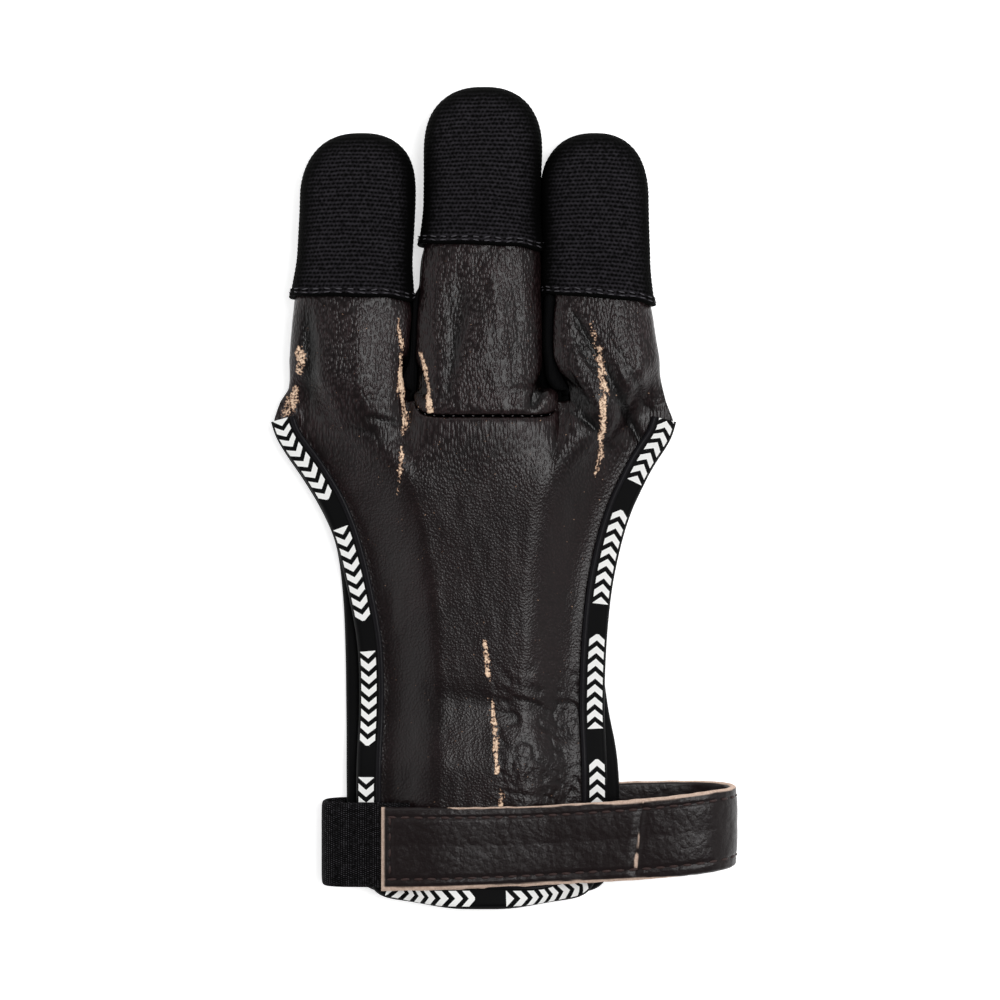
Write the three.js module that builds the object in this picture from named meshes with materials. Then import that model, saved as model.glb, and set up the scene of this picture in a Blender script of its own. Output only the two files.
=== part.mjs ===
// Three-finger archery glove, lying on its back with the leather side up and its wrist strap closed.
// Millimetres. X runs across the fingers, Y towards the fingertips, Z up from the table.
// The glove is laid out from the knuckle line (Y = 0) and the middle of the knuckles (X = 0).

import * as THREE from 'three';

const { lerp, smoothstep, degToRad } = THREE.MathUtils;

// Walls and clearances
const leatherWall = 1.3;
const stretchWall = 1.1;
const capWall = 1.0;
const tapeWall = 0.6;
const clearance = 0.35;
const seamGap = 0.5;
const seamRoom = 0.8;
const slotGap = 0.66;

// Palm, measured on the cut edges of the leather and of the stretch fabric
const palmLength = 130;
const knuckleWidth = 107;
const waistWidth = 62.9;
const wristWidth = 65.3;
const waistShift = 2.2;
const backWaistWidth = 66.4;
const backWristWidth = 71.6;
const backWaistShift = -0.6;
const backWristShift = 2.5;
const wristDip = 2.2;
const wristBow = 3;
const webLeft = -17.3;
const webRight = 23.4;

// Heights above the table
const stallHeight = 15.3;
const palmHeight = 16.4;
const edgeHeight = 7.6;
const mouthRise = 2.3;
const liftFrom = 0.6;
const liftTo = 0.72;

// Finger stalls
const crotchY = 8;
const seamDrop = 3;
const seamDip = 4.6;
const stallInCap = 12;
const stallNip = 0.1;

const fingers = {
  left: {
    tip: 76.5, hem: 32.1, width: 31.4, hemX: -32.3, tipX: -29.9, hemTilt: -0.5, seamLeft: -12, seamRight: 4,
  },
  middle: {
    tip: 88.8, hem: 45.8, width: 32, hemX: 2.2, tipX: 2.7, hemTilt: -0.8, seamLeft: 14, seamRight: 0,
  },
  right: {
    tip: 76.5, hem: 31.8, width: 28, hemX: 33.5, tipX: 32.4, hemTilt: -1.3, seamLeft: 32, seamRight: -12,
  },
};

// Woven fingertip caps
const domeLength = 17.5;
const domeSquareness = 2.4;
const sectionSquareness = 2.4;
const hemLength = 2.4;
const hemRise = 0.3;

// Edge binding
const bindingWidth = 6.8;
const bindingStart = -0.3;
const backBindingStart = -6;
const inwardShare = 0.06;
const inwardStep = 3;

// Wrist strap, its elastic and the hook-and-loop patch behind it
const strapWidth = 20;
const strapWall = 1.8;
const strapReach = 70.2;
const strapEndX = -24.5;
const strapLeftX = -24.4;
const loopHeight = 19.5;
const strapFromWrist = 17.6;
const strapY = strapFromWrist - palmLength;
const hiddenShift = 0.27;
const elasticWidth = 21.8;
const elasticWall = 1.4;
const elasticReach = -40.8;
const elasticEndX = -17;
const elasticRise = 0.7;
const elasticTuck = 3;
const patchWall = 0.8;
const patchLength = 30;

// Outline of a palm panel: shares of the palm length, of the flare from waist to knuckles on each side (the
// stretch back's left side turns in sooner), of the change from waist to wrist, and of the width that is left
// at the rounded wrist corners.
const palmOutline = [
  { down: 0.0, left: 1.0, backLeft: 1.0, right: 1.0, wrist: 0, corner: 1 },
  { down: 0.035, left: 0.945, backLeft: 0.94, right: 0.94, wrist: 0, corner: 1 },
  { down: 0.075, left: 0.8, backLeft: 0.785, right: 0.765, wrist: 0, corner: 1 },
  { down: 0.11, left: 0.66, backLeft: 0.62, right: 0.63, wrist: 0, corner: 1 },
  { down: 0.145, left: 0.545, backLeft: 0.475, right: 0.52, wrist: 0, corner: 1 },
  { down: 0.18, left: 0.435, backLeft: 0.34, right: 0.41, wrist: 0, corner: 1 },
  { down: 0.25, left: 0.287, backLeft: 0.14, right: 0.265, wrist: 0, corner: 1 },
  { down: 0.35, left: 0.152, backLeft: 0.04, right: 0.13, wrist: 0, corner: 1 },
  { down: 0.47, left: 0.04, backLeft: 0, right: 0.055, wrist: 0, corner: 1 },
  { down: 0.6, left: 0, backLeft: 0, right: 0, wrist: 0.5, corner: 1 },
  { down: 0.68, left: 0, backLeft: 0, right: 0, wrist: 0.85, corner: 1 },
  { down: 0.76, left: 0, backLeft: 0, right: 0, wrist: 1, corner: 1 },
  { down: 0.86, left: 0, backLeft: 0, right: 0, wrist: 1, corner: 0.99 },
  { down: 0.92, left: 0, backLeft: 0, right: 0, wrist: 1, corner: 0.95 },
  { down: 0.96, left: 0, backLeft: 0, right: 0, wrist: 1, corner: 0.88 },
  { down: 1.0, left: 0, backLeft: 0, right: 0, wrist: 1, corner: 0.76 },
];

// Height of the leather down the palm: crown as a share of the palm height and edge as a share of the
// edge height.
const palmSections = [
  { down: 0.0, crown: 1.0, edge: 1.0 },
  { down: 0.12, crown: 0.93, edge: 0.95 },
  { down: 0.3, crown: 0.8, edge: 0.86 },
  { down: 0.5, crown: 0.71, edge: 0.84 },
  { down: 0.62, crown: 0.69, edge: 0.84 },
  { down: 0.72, crown: 0.68, edge: 0.84 },
  { down: 0.93, crown: 0.68, edge: 0.84 },
  { down: 1.0, crown: 0.77, edge: 0.84 },
];

// Sides of the stalls above the knuckles: how far each side has moved from the stall's own width towards
// the knuckle corner or the web between the fingers, by share of the height of the cap's hem.
const stallSides = {
  left: [
    { up: 0, left: 1, right: 1 },
    { up: 0.17, left: 0.66, right: 1 },
    { up: 0.27, left: 0.38, right: 0.8 },
    { up: 0.57, left: 0.14, right: 0.25 },
    { up: 0.9, left: 0.02, right: -0.3 },
    { up: 1, left: 0, right: 0 },
  ],
  middle: [
    { up: 0, left: 1, right: 1 },
    { up: 0.12, left: 1, right: 1 },
    { up: 0.165, left: 0.96, right: 0.85 },
    { up: 0.21, left: 0.9, right: 0.2 },
    { up: 0.41, left: 0.7, right: 0.06 },
    { up: 0.57, left: 0.6, right: 0.06 },
    { up: 0.7, left: 0.38, right: 0 },
    { up: 0.93, left: 0.15, right: 0 },
    { up: 1, left: 0, right: 0 },
  ],
  right: [
    { up: 0, left: 1, right: 1 },
    { up: 0.17, left: 1, right: 0.67 },
    { up: 0.28, left: 0.66, right: 0.6 },
    { up: 0.41, left: 0.16, right: 0.45 },
    { up: 0.57, left: -0.12, right: 0.3 },
    { up: 0.9, left: -0.05, right: 0.05 },
    { up: 1, left: 0, right: 0 },
  ],
};

// Folds in the leather: a soft groove between two points, given as shares of the knuckle width across and
// of the palm length along, with depth and width in wall thicknesses.
const folds = [
  { fromX: -0.41, fromY: 0.2, toX: -0.405, toY: 0.03, depth: 0.75, width: 2.4 },
  { fromX: -0.03, fromY: 0.28, toX: -0.055, toY: 0.14, depth: 0.8, width: 2.4 },
  { fromX: 0.255, fromY: 0.19, toX: 0.42, toY: -0.04, depth: 0.65, width: 2.2 },
  { fromX: 0.215, fromY: 0.08, toX: 0.33, toY: -0.05, depth: 0.6, width: 2.2 },
  { fromX: -0.28, fromY: -0.01, toX: -0.17, toY: -0.05, depth: 0.4, width: 2.4 },
  { fromX: -0.15, fromY: -0.56, toX: 0.2, toY: -0.6, depth: 0.35, width: 2.8 },
];

// Where a stall's tube flattens into a panel, in crotch heights above the knuckles, on its sides towards the
// middle and the outside of the glove.
const frontFlattening = { innerFrom: -2.2, outerFrom: 0.2, innerTo: 1, outerTo: 2.2 };
const backFlattening = { innerFrom: -0.4, outerFrom: 0.1, innerTo: 1, outerTo: 2.2 };

// The palm's flat rim under the binding, and how far in its shoulder reaches: shares of the binding's width
// and of the palm's width.
const rimShare = 0.9;
const shoulderShare = 0.24;

// The strap's front run from its sewn end to the fold: shares of the reach, of the loop height and of the
// strap width that its middle has moved towards the fingers.
const strapRun = [
  { along: strapLeftX / strapReach, height: 0.69, shift: 0 },
  { along: -0.15, height: 0.76, shift: 0 },
  { along: 0.2, height: 0.765, shift: 0.02 },
  { along: 0.42, height: 0.82, shift: 0.07 },
  { along: 0.65, height: 0.905, shift: 0.14 },
  { along: 0.82, height: 0.95, shift: 0.21 },
];
const strapFold = [
  { along: 0.915, height: 0.87, shift: 0.25 },
  { along: 0.972, height: 0.7, shift: 0.265 },
  { along: 0.987, height: 0.48, shift: hiddenShift },
  { along: 0.965, height: 0.25, shift: hiddenShift },
  { along: 0.905, height: 0.11, shift: hiddenShift },
  { along: 0.84, height: 0.052, shift: hiddenShift },
];
const elasticFold = [
  { along: 0.9, height: 0.92 },
  { along: 0.975, height: 0.76 },
  { along: 0.983, height: 0.5 },
  { along: 0.96, height: 0.24 },
];

// Mesh resolution
const capSides = 20;
const domeRows = 5;
const capRows = 4;
const stallRows = 8;
const palmRows = 21;
const frontColumns = { left: 8, middle: 9, right: 8 };
const backColumns = { left: 7, middle: 7, right: 7 };
const gapColumns = 1;
const sideStations = 22;
const wristStations = 14;
const strapSteps = 34;
const elasticSteps = 20;

// Rows and stations lie closer together towards the knuckles where the power is over 1
const rowSpacing = { front: 1.05, middle: 0.9, back: 1.3, binding: 1.15 };

const leather = new THREE.MeshStandardMaterial({ color: 0x332e2f, roughness: 0.5, metalness: 0 });
const strapLeather = new THREE.MeshStandardMaterial({ color: 0x2e2a2b, roughness: 0.4, metalness: 0 });
const stretchFabric = new THREE.MeshStandardMaterial({ color: 0x141416, roughness: 0.9, metalness: 0 });
const wovenNylon = new THREE.MeshStandardMaterial({ color: 0x1b1a1c, roughness: 0.85, metalness: 0 });
const bindingTape = new THREE.MeshStandardMaterial({ color: 0x121214, roughness: 0.6, metalness: 0 });
const elasticWebbing = new THREE.MeshStandardMaterial({ color: 0x151416, roughness: 0.9, metalness: 0 });
const hookAndLoop = new THREE.MeshStandardMaterial({ color: 0x101012, roughness: 1, metalness: 0 });

// Value of one column of a table, with smooth steps between its rows
function lookUp(table, key, at, column) {
  if (at <= table[0][key]) return table[0][column];
  for (let row = 1; row < table.length; row += 1) {
    const low = table[row - 1];
    const high = table[row];
    if (at > high[key]) continue;
    const before = table[row - 2] ?? low;
    const after = table[row + 1] ?? high;
    const run = high[key] - low[key];
    const t = (at - low[key]) / run;
    const slopeLow = ((high[column] - before[column]) / (high[key] - before[key])) * run;
    const slopeHigh = ((after[column] - low[column]) / (after[key] - low[key])) * run;
    const rise = high[column] - low[column];
    const bend = t * (1 - t) * ((1 - t) * (slopeLow - rise) - t * (slopeHigh - rise));
    return low[column] + t * rise + bend;
  }
  return table[table.length - 1][column];
}

const frontPanel = {
  waist: waistWidth,
  wrist: wristWidth,
  waistShift,
  wristShift: waistShift,
  leftFlare: 'left',
  edgeInset: tapeWall * 2,
};
const backPanel = {
  waist: backWaistWidth,
  wrist: backWristWidth,
  waistShift: backWaistShift,
  wristShift: backWristShift,
  leftFlare: 'backLeft',
  edgeInset: tapeWall * 4,
};

// Left and right cut edge of a panel at a height below the knuckles
function panelEdges(panel, y) {
  const down = THREE.MathUtils.clamp(-y / palmLength, 0, 1);
  const wrist = lookUp(palmOutline, 'down', down, 'wrist');
  const corner = lookUp(palmOutline, 'down', down, 'corner');
  const half = lerp(panel.waist, panel.wrist, wrist) / 2;
  const shift = lerp(panel.waistShift, panel.wristShift, wrist);
  const flareLeft = lookUp(palmOutline, 'down', down, panel.leftFlare);
  const flareRight = lookUp(palmOutline, 'down', down, 'right');
  const left = lerp(shift - half * corner, -knuckleWidth / 2, flareLeft);
  const right = lerp(shift + half * corner, knuckleWidth / 2, flareRight);
  return [left, right];
}

// Shares of the panel's width where the stalls meet, from the webs between the fingers
const webs = [webLeft, webRight].map((x) => (x + knuckleWidth / 2) / knuckleWidth);
const webHalf = seamGap / knuckleWidth;
const blockShares = {
  left: [0, webs[0] - webHalf],
  middle: [webs[0] + webHalf, webs[1] - webHalf],
  right: [webs[1] + webHalf, 1],
};

// Half width of a stall, nipped in under its cap
function stallHalf(finger, y) {
  const beyond = smoothstep(y, finger.hem - stallInCap / 2, finger.hem + stallInCap);
  return (finger.width / 2) * (1 - stallNip * beyond);
}

// Middle of a stall, which leans from its cap's hem to its tip
function stallMiddle(finger, y) {
  const lean = Math.max(0, (y - finger.hem) / (finger.tip - finger.hem));
  return lerp(finger.hemX, finger.tipX, lean);
}

// The stall's tube at a height above the knuckles: its sides, middle and half width
function stallSpan(name, y) {
  const finger = fingers[name];
  const up = Math.max(y, 0) / finger.hem;
  const half = stallHalf(finger, y);
  const middle = stallMiddle(finger, y);
  const [shareLeft, shareRight] = blockShares[name];
  const baseLeft = lerp(-knuckleWidth / 2, knuckleWidth / 2, shareLeft);
  const baseRight = lerp(-knuckleWidth / 2, knuckleWidth / 2, shareRight);
  const left = lerp(middle - half, baseLeft, lookUp(stallSides[name], 'up', up, 'left'));
  const right = lerp(middle + half, baseRight, lookUp(stallSides[name], 'up', up, 'right'));
  return { left, right, middle: (left + right) / 2, half: (right - left) / 2 };
}

const stallMiddleZ = stallHeight / 2 + capWall + clearance + hemRise;

// A point of a rounded-square section, with the angle counted from +X towards +Z
function sectionPoint(angle, halfWidth, halfHeight) {
  const power = 2 / sectionSquareness;
  const across = Math.cos(angle);
  const up = Math.sin(angle);
  return [
    Math.sign(across) * Math.abs(across) ** power * halfWidth,
    Math.sign(up) * Math.abs(up) ** power * halfHeight,
  ];
}

// Depth of the folds at a point of the leather
function foldDepth(x, y) {
  let depth = 0;
  for (const fold of folds) {
    const from = new THREE.Vector2(fold.fromX * knuckleWidth, fold.fromY * palmLength);
    const to = new THREE.Vector2(fold.toX * knuckleWidth, fold.toY * palmLength);
    const run = to.clone().sub(from);
    const t = THREE.MathUtils.clamp(new THREE.Vector2(x, y).sub(from).dot(run) / run.lengthSq(), 0, 1);
    const away = new THREE.Vector2(x, y).distanceTo(from.clone().addScaledVector(run, t));
    const share = away / (fold.width * leatherWall);
    depth += fold.depth * leatherWall * Math.exp(-share * share) * Math.sin(Math.PI * lerp(0.15, 0.85, t));
  }
  return depth;
}

// How far the wrist strap underneath lifts both panels
function strapLift(y) {
  return mouthRise * smoothstep(-y / palmLength, liftFrom, liftTo);
}

// Outer height of the leather over the palm
function palmTop(share, y, width) {
  const down = THREE.MathUtils.clamp(-y / palmLength, 0, 1);
  const lift = strapLift(y);
  const edge = edgeHeight * lookUp(palmSections, 'down', down, 'edge') + lift;
  const crown = palmHeight * lookUp(palmSections, 'down', down, 'crown') + lift;
  const fromEdge = Math.min(share, 1 - share) * width;
  const shoulder = smoothstep(fromEdge, bindingWidth * rimShare, bindingWidth + width * shoulderShare);
  return lerp(edge, crown, shoulder);
}

// Underside of the stretch back over the palm
function palmUnderside(y) {
  return slotGap + tapeWall + strapLift(y);
}

// How far a point of a block belongs to the glove's outer side, where the stall flattens into the binding
function outerShare(name, t) {
  const inwards = { left: t, middle: 1, right: 1 - t }[name];
  return 1 - smoothstep(inwards, 0.18, 0.9);
}

// How far a stall's tube has flattened into a panel at a height above the knuckles
function flatShare(flattening, outer, y) {
  const from = lerp(flattening.innerFrom, flattening.outerFrom, outer) * crotchY;
  const to = lerp(flattening.innerTo, flattening.outerTo, outer) * crotchY;
  return 1 - smoothstep(y, from, to);
}

// A point on the leather side of the glove, in one finger's block, with t from 0 to 1 across it
function frontPoint(name, t, y) {
  const finger = fingers[name];
  const start = 180 - finger.seamLeft;
  const angle = degToRad(lerp(start, finger.seamRight, t));
  const span = stallSpan(name, y);
  const [across, up] = sectionPoint(angle, span.half, stallHeight / 2);
  const stallPoint = new THREE.Vector3(span.middle + across, y, stallMiddleZ + up);
  const blend = flatShare(frontFlattening, outerShare(name, t), y);
  const [left, right] = panelEdges(frontPanel, y);
  const share = lerp(blockShares[name][0], blockShares[name][1], t);
  const palmX = y > 0 ? lerp(span.left, span.right, t) : lerp(left, right, share);
  const palmPoint = new THREE.Vector3(palmX, y, palmTop(share, y, right - left));
  const point = stallPoint.lerp(palmPoint, blend);
  point.z -= foldDepth(point.x, point.y) * smoothstep(up + blend * stallHeight, 0, stallHeight / 3);
  return point;
}

// A point on the stretch side of the glove, in one finger's block, with t from 0 to 1 across it
function backPoint(name, t, y) {
  const finger = fingers[name];
  const slack = THREE.MathUtils.radToDeg(seamRoom / (finger.width / 2));
  const start = -180 - finger.seamLeft + slack;
  const angle = degToRad(lerp(start, finger.seamRight - slack, t));
  const span = stallSpan(name, y);
  const [across, up] = sectionPoint(angle, span.half, stallHeight / 2);
  const stallPoint = new THREE.Vector3(span.middle + across, y, stallMiddleZ + up);
  const blend = flatShare(backFlattening, outerShare(name, t), y);
  const [left, right] = panelEdges(backPanel, y);
  const share = lerp(blockShares[name][0], blockShares[name][1], t);
  const palmX = y > 0 ? lerp(span.left, span.right, t) : lerp(left, right, share);
  const palmPoint = new THREE.Vector3(palmX, y, palmUnderside(y));
  return stallPoint.lerp(palmPoint, blend);
}

// Where the middle stall is sewn to the palm: a shallow U across its block
function seamY(t) {
  return crotchY - seamDrop - seamDip * (1 - (2 * t - 1) ** 6);
}

// Wrist edge of a panel, bowed up towards its corners
function wristY(panel, share) {
  return -palmLength + panel.edgeInset + wristDip * Math.abs(2 * share - 1) ** wristBow;
}

// A point of a surface with its outward normal, from small steps across and along the surface
function surfacePoint(pointAt, name, t, y, outward) {
  const step = 0.01;
  const across = pointAt(name, t + step, y).sub(pointAt(name, t - step, y));
  const along = pointAt(name, t, y + step * 10).sub(pointAt(name, t, y - step * 10));
  const normal = across.cross(along).multiplyScalar(outward).normalize();
  return { point: pointAt(name, t, y), normal };
}

// Closed solid from a lattice of surface points: wall thickness is taken off along the normals, and the
// free edges are closed. cellAt says which cells of the lattice exist.
function sheetSolid(lattice, cellAt, wall) {
  const rows = lattice.length;
  const columns = lattice[0].length;
  const cells = [];
  for (let r = 0; r < rows - 1; r += 1) {
    for (let c = 0; c < columns - 1; c += 1) {
      if (cellAt(r, c)) cells.push([r, c]);
    }
  }
  const index = new Map();
  const positions = [];
  const vertex = (r, c, side) => {
    const key = `${r},${c},${side}`;
    if (!index.has(key)) {
      const point = lattice[r][c].point.clone().addScaledVector(lattice[r][c].normal, -wall * side);
      index.set(key, positions.length / 3);
      positions.push(point.x, point.y, point.z);
    }
    return index.get(key);
  };
  const faces = [];
  const quad = (a, b, c, d) => faces.push(a, b, c, a, c, d);
  for (const [r, c] of cells) {
    const ring = [[r, c], [r + 1, c], [r + 1, c + 1], [r, c + 1]];
    const outer = ring.map(([rr, cc]) => vertex(rr, cc, 0));
    const inner = ring.map(([rr, cc]) => vertex(rr, cc, 1));
    quad(...outer);
    quad(...inner.slice().reverse());
    const beside = [[r, c - 1], [r + 1, c], [r, c + 1], [r - 1, c]];
    beside.forEach(([rr, cc], side) => {
      const inside = rr >= 0 && cc >= 0 && rr < rows - 1 && cc < columns - 1 && cellAt(rr, cc);
      if (inside) return;
      const next = (side + 1) % 4;
      quad(outer[next], outer[side], inner[side], inner[next]);
    });
  }
  return meshGeometry(positions, faces);
}

function meshGeometry(positions, faces) {
  const geometry = new THREE.BufferGeometry();
  geometry.setAttribute('position', new THREE.Float32BufferAttribute(positions, 3));
  geometry.setIndex(faces);
  geometry.computeVertexNormals();
  return geometry;
}

// Closed solid from rings of points along a path, with flat ends
function ringSolid(profile, rings) {
  const sides = rings[0].length;
  const positions = rings.flat().flatMap((point) => point.toArray());
  const faces = [];
  for (let r = 0; r < rings.length - 1; r += 1) {
    for (let s = 0; s < sides; s += 1) {
      const a = r * sides + s;
      const b = r * sides + ((s + 1) % sides);
      faces.push(a, b, b + sides, a, b + sides, a + sides);
    }
  }
  const clockwise = THREE.ShapeUtils.area(profile) < 0;
  const last = (rings.length - 1) * sides;
  for (const [a, b, c] of THREE.ShapeUtils.triangulateShape(profile, [])) {
    const [second, third] = clockwise ? [c, b] : [b, c];
    faces.push(a, third, second);
    faces.push(last + a, last + second, last + third);
  }
  return meshGeometry(positions, faces);
}

// Columns of a lattice across the three blocks, with the narrow cells between them
function blockColumns(counts) {
  const columns = [];
  for (const name of ['left', 'middle', 'right']) {
    for (let i = 0; i <= counts[name]; i += 1) columns.push({ name, t: i / counts[name] });
  }
  return columns;
}

// Leather over the palm with the fronts of the two outer stalls in one piece
function leatherFront() {
  const columns = blockColumns(frontColumns);
  const points = [];
  for (let r = 0; r <= stallRows; r += 1) {
    points.push(columns.map(({ name, t }) => {
      const y = lerp(fingers[name].hem + stallInCap, crotchY, r / stallRows);
      return surfacePoint(frontPoint, name, t, name === 'middle' ? seamY(t) : y, 1);
    }));
  }
  const seamRow = stallRows + 1;
  points.push(columns.map(({ name, t }) => (
    surfacePoint(frontPoint, name, t, name === 'middle' ? seamY(t) : seamY(0), 1)
  )));
  for (let r = 1; r <= palmRows; r += 1) {
    const share = (r / palmRows) ** rowSpacing.front;
    points.push(columns.map(({ name, t }) => {
      const across = lerp(blockShares[name][0], blockShares[name][1], t);
      const top = name === 'middle' ? seamY(t) : seamY(0);
      return surfacePoint(frontPoint, name, t, lerp(top, wristY(frontPanel, across), share), 1);
    }));
  }
  const firstMiddle = frontColumns.left;
  const lastMiddle = frontColumns.left + gapColumns + frontColumns.middle;
  const cellAt = (r, c) => r >= seamRow || c < firstMiddle || c > lastMiddle;
  return sheetSolid(points, cellAt, leatherWall);
}

// Leather front of the middle stall, ending in the U seam
function middleFingerLeather() {
  const columns = frontColumns.middle + 1;
  const rows = stallRows + 3;
  const points = [];
  for (let r = 0; r <= rows; r += 1) {
    const row = [];
    for (let c = 0; c <= columns; c += 1) {
      const t = c / columns;
      const top = fingers.middle.hem + stallInCap;
      const y = lerp(top, seamY(t) + seamRoom, (r / rows) ** rowSpacing.middle);
      row.push(surfacePoint(frontPoint, 'middle', t, y, 1));
    }
    points.push(row);
  }
  return sheetSolid(points, () => true, leatherWall);
}

// Stretch fabric: the back of the hand with the backs of all three stalls
function stretchBack() {
  const columns = blockColumns(backColumns);
  const points = [];
  for (let r = 0; r <= stallRows; r += 1) {
    points.push(columns.map(({ name, t }) => {
      const top = fingers[name].hem + stallInCap;
      return surfacePoint(backPoint, name, t, lerp(top, crotchY, r / stallRows), -1);
    }));
  }
  const backRows = palmRows - 4;
  for (let r = 1; r <= backRows; r += 1) {
    const share = (r / backRows) ** rowSpacing.back;
    points.push(columns.map(({ name, t }) => {
      const across = lerp(blockShares[name][0], blockShares[name][1], t);
      return surfacePoint(backPoint, name, t, lerp(crotchY, wristY(backPanel, across), share), -1);
    }));
  }
  const gaps = [backColumns.left, backColumns.left + gapColumns + backColumns.middle];
  const cellAt = (r, c) => r >= stallRows || !gaps.includes(c);
  const mirrored = points.map((row) => row.slice().reverse());
  const last = columns.length - 2;
  return sheetSolid(mirrored, (r, c) => cellAt(r, last - c), stretchWall);
}

// Woven cap: a closed dome over the end of a stall, with a thicker folded hem
function fingertipCap(name) {
  const finger = fingers[name];
  const bodyTop = finger.tip - domeLength;
  const skin = (wall, hem) => {
    const rings = [];
    const ring = (y, factor, extra, tilt) => {
      const half = stallHalf(finger, y);
      const middle = stallMiddle(finger, y);
      const grow = clearance + wall + extra;
      const points = [];
      for (let s = 0; s < capSides; s += 1) {
        const angle = (2 * Math.PI * (s + 0.5)) / capSides;
        const [across, up] = sectionPoint(angle, (half + grow) * factor, (stallHeight / 2 + grow) * factor);
        points.push(new THREE.Vector3(middle + across, y + tilt * (across / half), stallMiddleZ + up));
      }
      rings.push(points);
    };
    if (hem) {
      ring(finger.hem, 1, hem, finger.hemTilt);
      ring(finger.hem + hemLength, 1, hem, finger.hemTilt);
      ring(finger.hem + hemLength + hemRise, 1, 0, finger.hemTilt);
    } else {
      ring(finger.hem, 1, 0, finger.hemTilt);
    }
    for (let r = 1; r <= capRows; r += 1) {
      const y = lerp(finger.hem + hemLength + hemRise, bodyTop, r / capRows);
      ring(y, 1, 0, finger.hemTilt * (1 - r / capRows));
    }
    for (let r = 1; r < domeRows; r += 1) {
      const angle = (Math.PI / 2) * (r / domeRows);
      const power = 2 / domeSquareness;
      const y = bodyTop + (domeLength - capWall + wall) * Math.sin(angle) ** power;
      ring(y, Math.cos(angle) ** power, 0, 0);
    }
    const tipY = finger.tip - capWall + wall;
    rings.push([new THREE.Vector3(stallMiddle(finger, tipY), tipY, stallMiddleZ)]);
    return rings;
  };
  const outer = skin(capWall, hemRise);
  const inner = skin(0, 0);
  const positions = [];
  const firstOf = (rings) => rings.map((points) => {
    const first = positions.length / 3;
    points.forEach((point) => positions.push(...point.toArray()));
    return first;
  });
  const outerFirst = firstOf(outer);
  const innerFirst = firstOf(inner);
  const faces = [];
  const addSkin = (rings, first, inwards) => {
    const face = (a, b, c) => faces.push(...(inwards ? [a, c, b] : [a, b, c]));
    for (let r = 0; r < rings.length - 1; r += 1) {
      for (let s = 0; s < capSides; s += 1) {
        const next = (s + 1) % capSides;
        const a = first[r] + s;
        const b = first[r] + next;
        if (rings[r + 1].length === 1) {
          face(a, first[r + 1], b);
        } else {
          face(a, first[r + 1] + s, first[r + 1] + next);
          face(a, first[r + 1] + next, b);
        }
      }
    }
  };
  addSkin(outer, outerFirst, false);
  addSkin(inner, innerFirst, true);
  for (let s = 0; s < capSides; s += 1) {
    const next = (s + 1) % capSides;
    faces.push(innerFirst[0] + s, outerFirst[0] + s, outerFirst[0] + next);
    faces.push(innerFirst[0] + s, outerFirst[0] + next, innerFirst[0] + next);
  }
  return meshGeometry(positions, faces);
}

// Folded tape round a panel's free edge, as a U section that the edge sits in
function edgeBinding(panel, pointAt, startY, wall, side) {
  const nameOf = (share) => {
    const names = ['left', 'middle', 'right'];
    return names.find((name) => share <= blockShares[name][1] + webHalf * 2) ?? 'right';
  };
  const surface = (share, y) => {
    const name = nameOf(share);
    const [low, high] = blockShares[name];
    return pointAt(name, THREE.MathUtils.clamp((share - low) / (high - low), 0, 1), y);
  };
  const stations = [];
  const sideY = (share, i) => lerp(startY, wristY(panel, share), (i / sideStations) ** rowSpacing.binding);
  for (let i = 0; i < sideStations; i += 1) stations.push({ share: 0, y: sideY(0, i) });
  for (let i = 0; i <= wristStations; i += 1) {
    const share = i / wristStations;
    stations.push({ share, y: wristY(panel, share) });
  }
  for (let i = sideStations - 1; i >= 0; i -= 1) stations.push({ share: 1, y: sideY(1, i) });
  const edge = stations.map(({ share, y }) => surface(share, y));
  const inward = stations.map(({ share, y }, i) => {
    const step = inwardStep * Math.sin(Math.PI * share) ** 0.5;
    const towards = surface(lerp(share, 0.5, inwardShare), y + step);
    return towards.sub(edge[i]).normalize();
  });
  const half = wall / 2 + slotGap + tapeWall;
  const outside = clearance + tapeWall;
  const deep = outside - bindingWidth;
  const profile = [
    [deep, half], [outside - 0.5 * half, half], [outside, 0.45 * half], [outside, -0.45 * half],
    [outside - 0.5 * half, -half], [deep, -half], [deep, tapeWall - half],
    [clearance, tapeWall - half], [clearance, half - tapeWall], [deep, half - tapeWall],
  ].map(([across, up]) => new THREE.Vector2(across, up));
  const rings = edge.map((point, i) => {
    const before = edge[Math.max(i - 1, 0)];
    const after = edge[Math.min(i + 1, edge.length - 1)];
    const along = after.clone().sub(before).normalize();
    const up = along.clone().cross(inward[i]).normalize();
    const out = along.clone().cross(up).normalize();
    if (out.dot(inward[i]) > 0) out.negate();
    if (up.z < 0) up.negate();
    const middle = point.clone().addScaledVector(up, (-side * wall) / 2);
    return profile.map((p) => middle.clone().addScaledVector(out, p.x).addScaledVector(up, p.y));
  });
  return ringSolid(profile, rings);
}

// A flat band of one width along a path in X and Z, whose middle may move in Y
function bandSolid(path, width, wall) {
  const corners = [[-0.5, -0.5], [0.5, -0.5], [0.5, 0.5], [-0.5, 0.5]];
  const profile = corners.map(([a, b]) => new THREE.Vector2(a, b));
  const rings = path.map((point, i) => {
    const before = path[Math.max(i - 1, 0)];
    const after = path[Math.min(i + 1, path.length - 1)];
    const along = new THREE.Vector3(after.x - before.x, 0, after.z - before.z).normalize();
    const up = new THREE.Vector3(-along.z, 0, along.x);
    const across = new THREE.Vector3(0, 1, 0);
    return profile.map((p) => (
      point.clone().addScaledVector(across, p.x * width).addScaledVector(up, p.y * wall)
    ));
  });
  return ringSolid(profile, rings);
}

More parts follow.
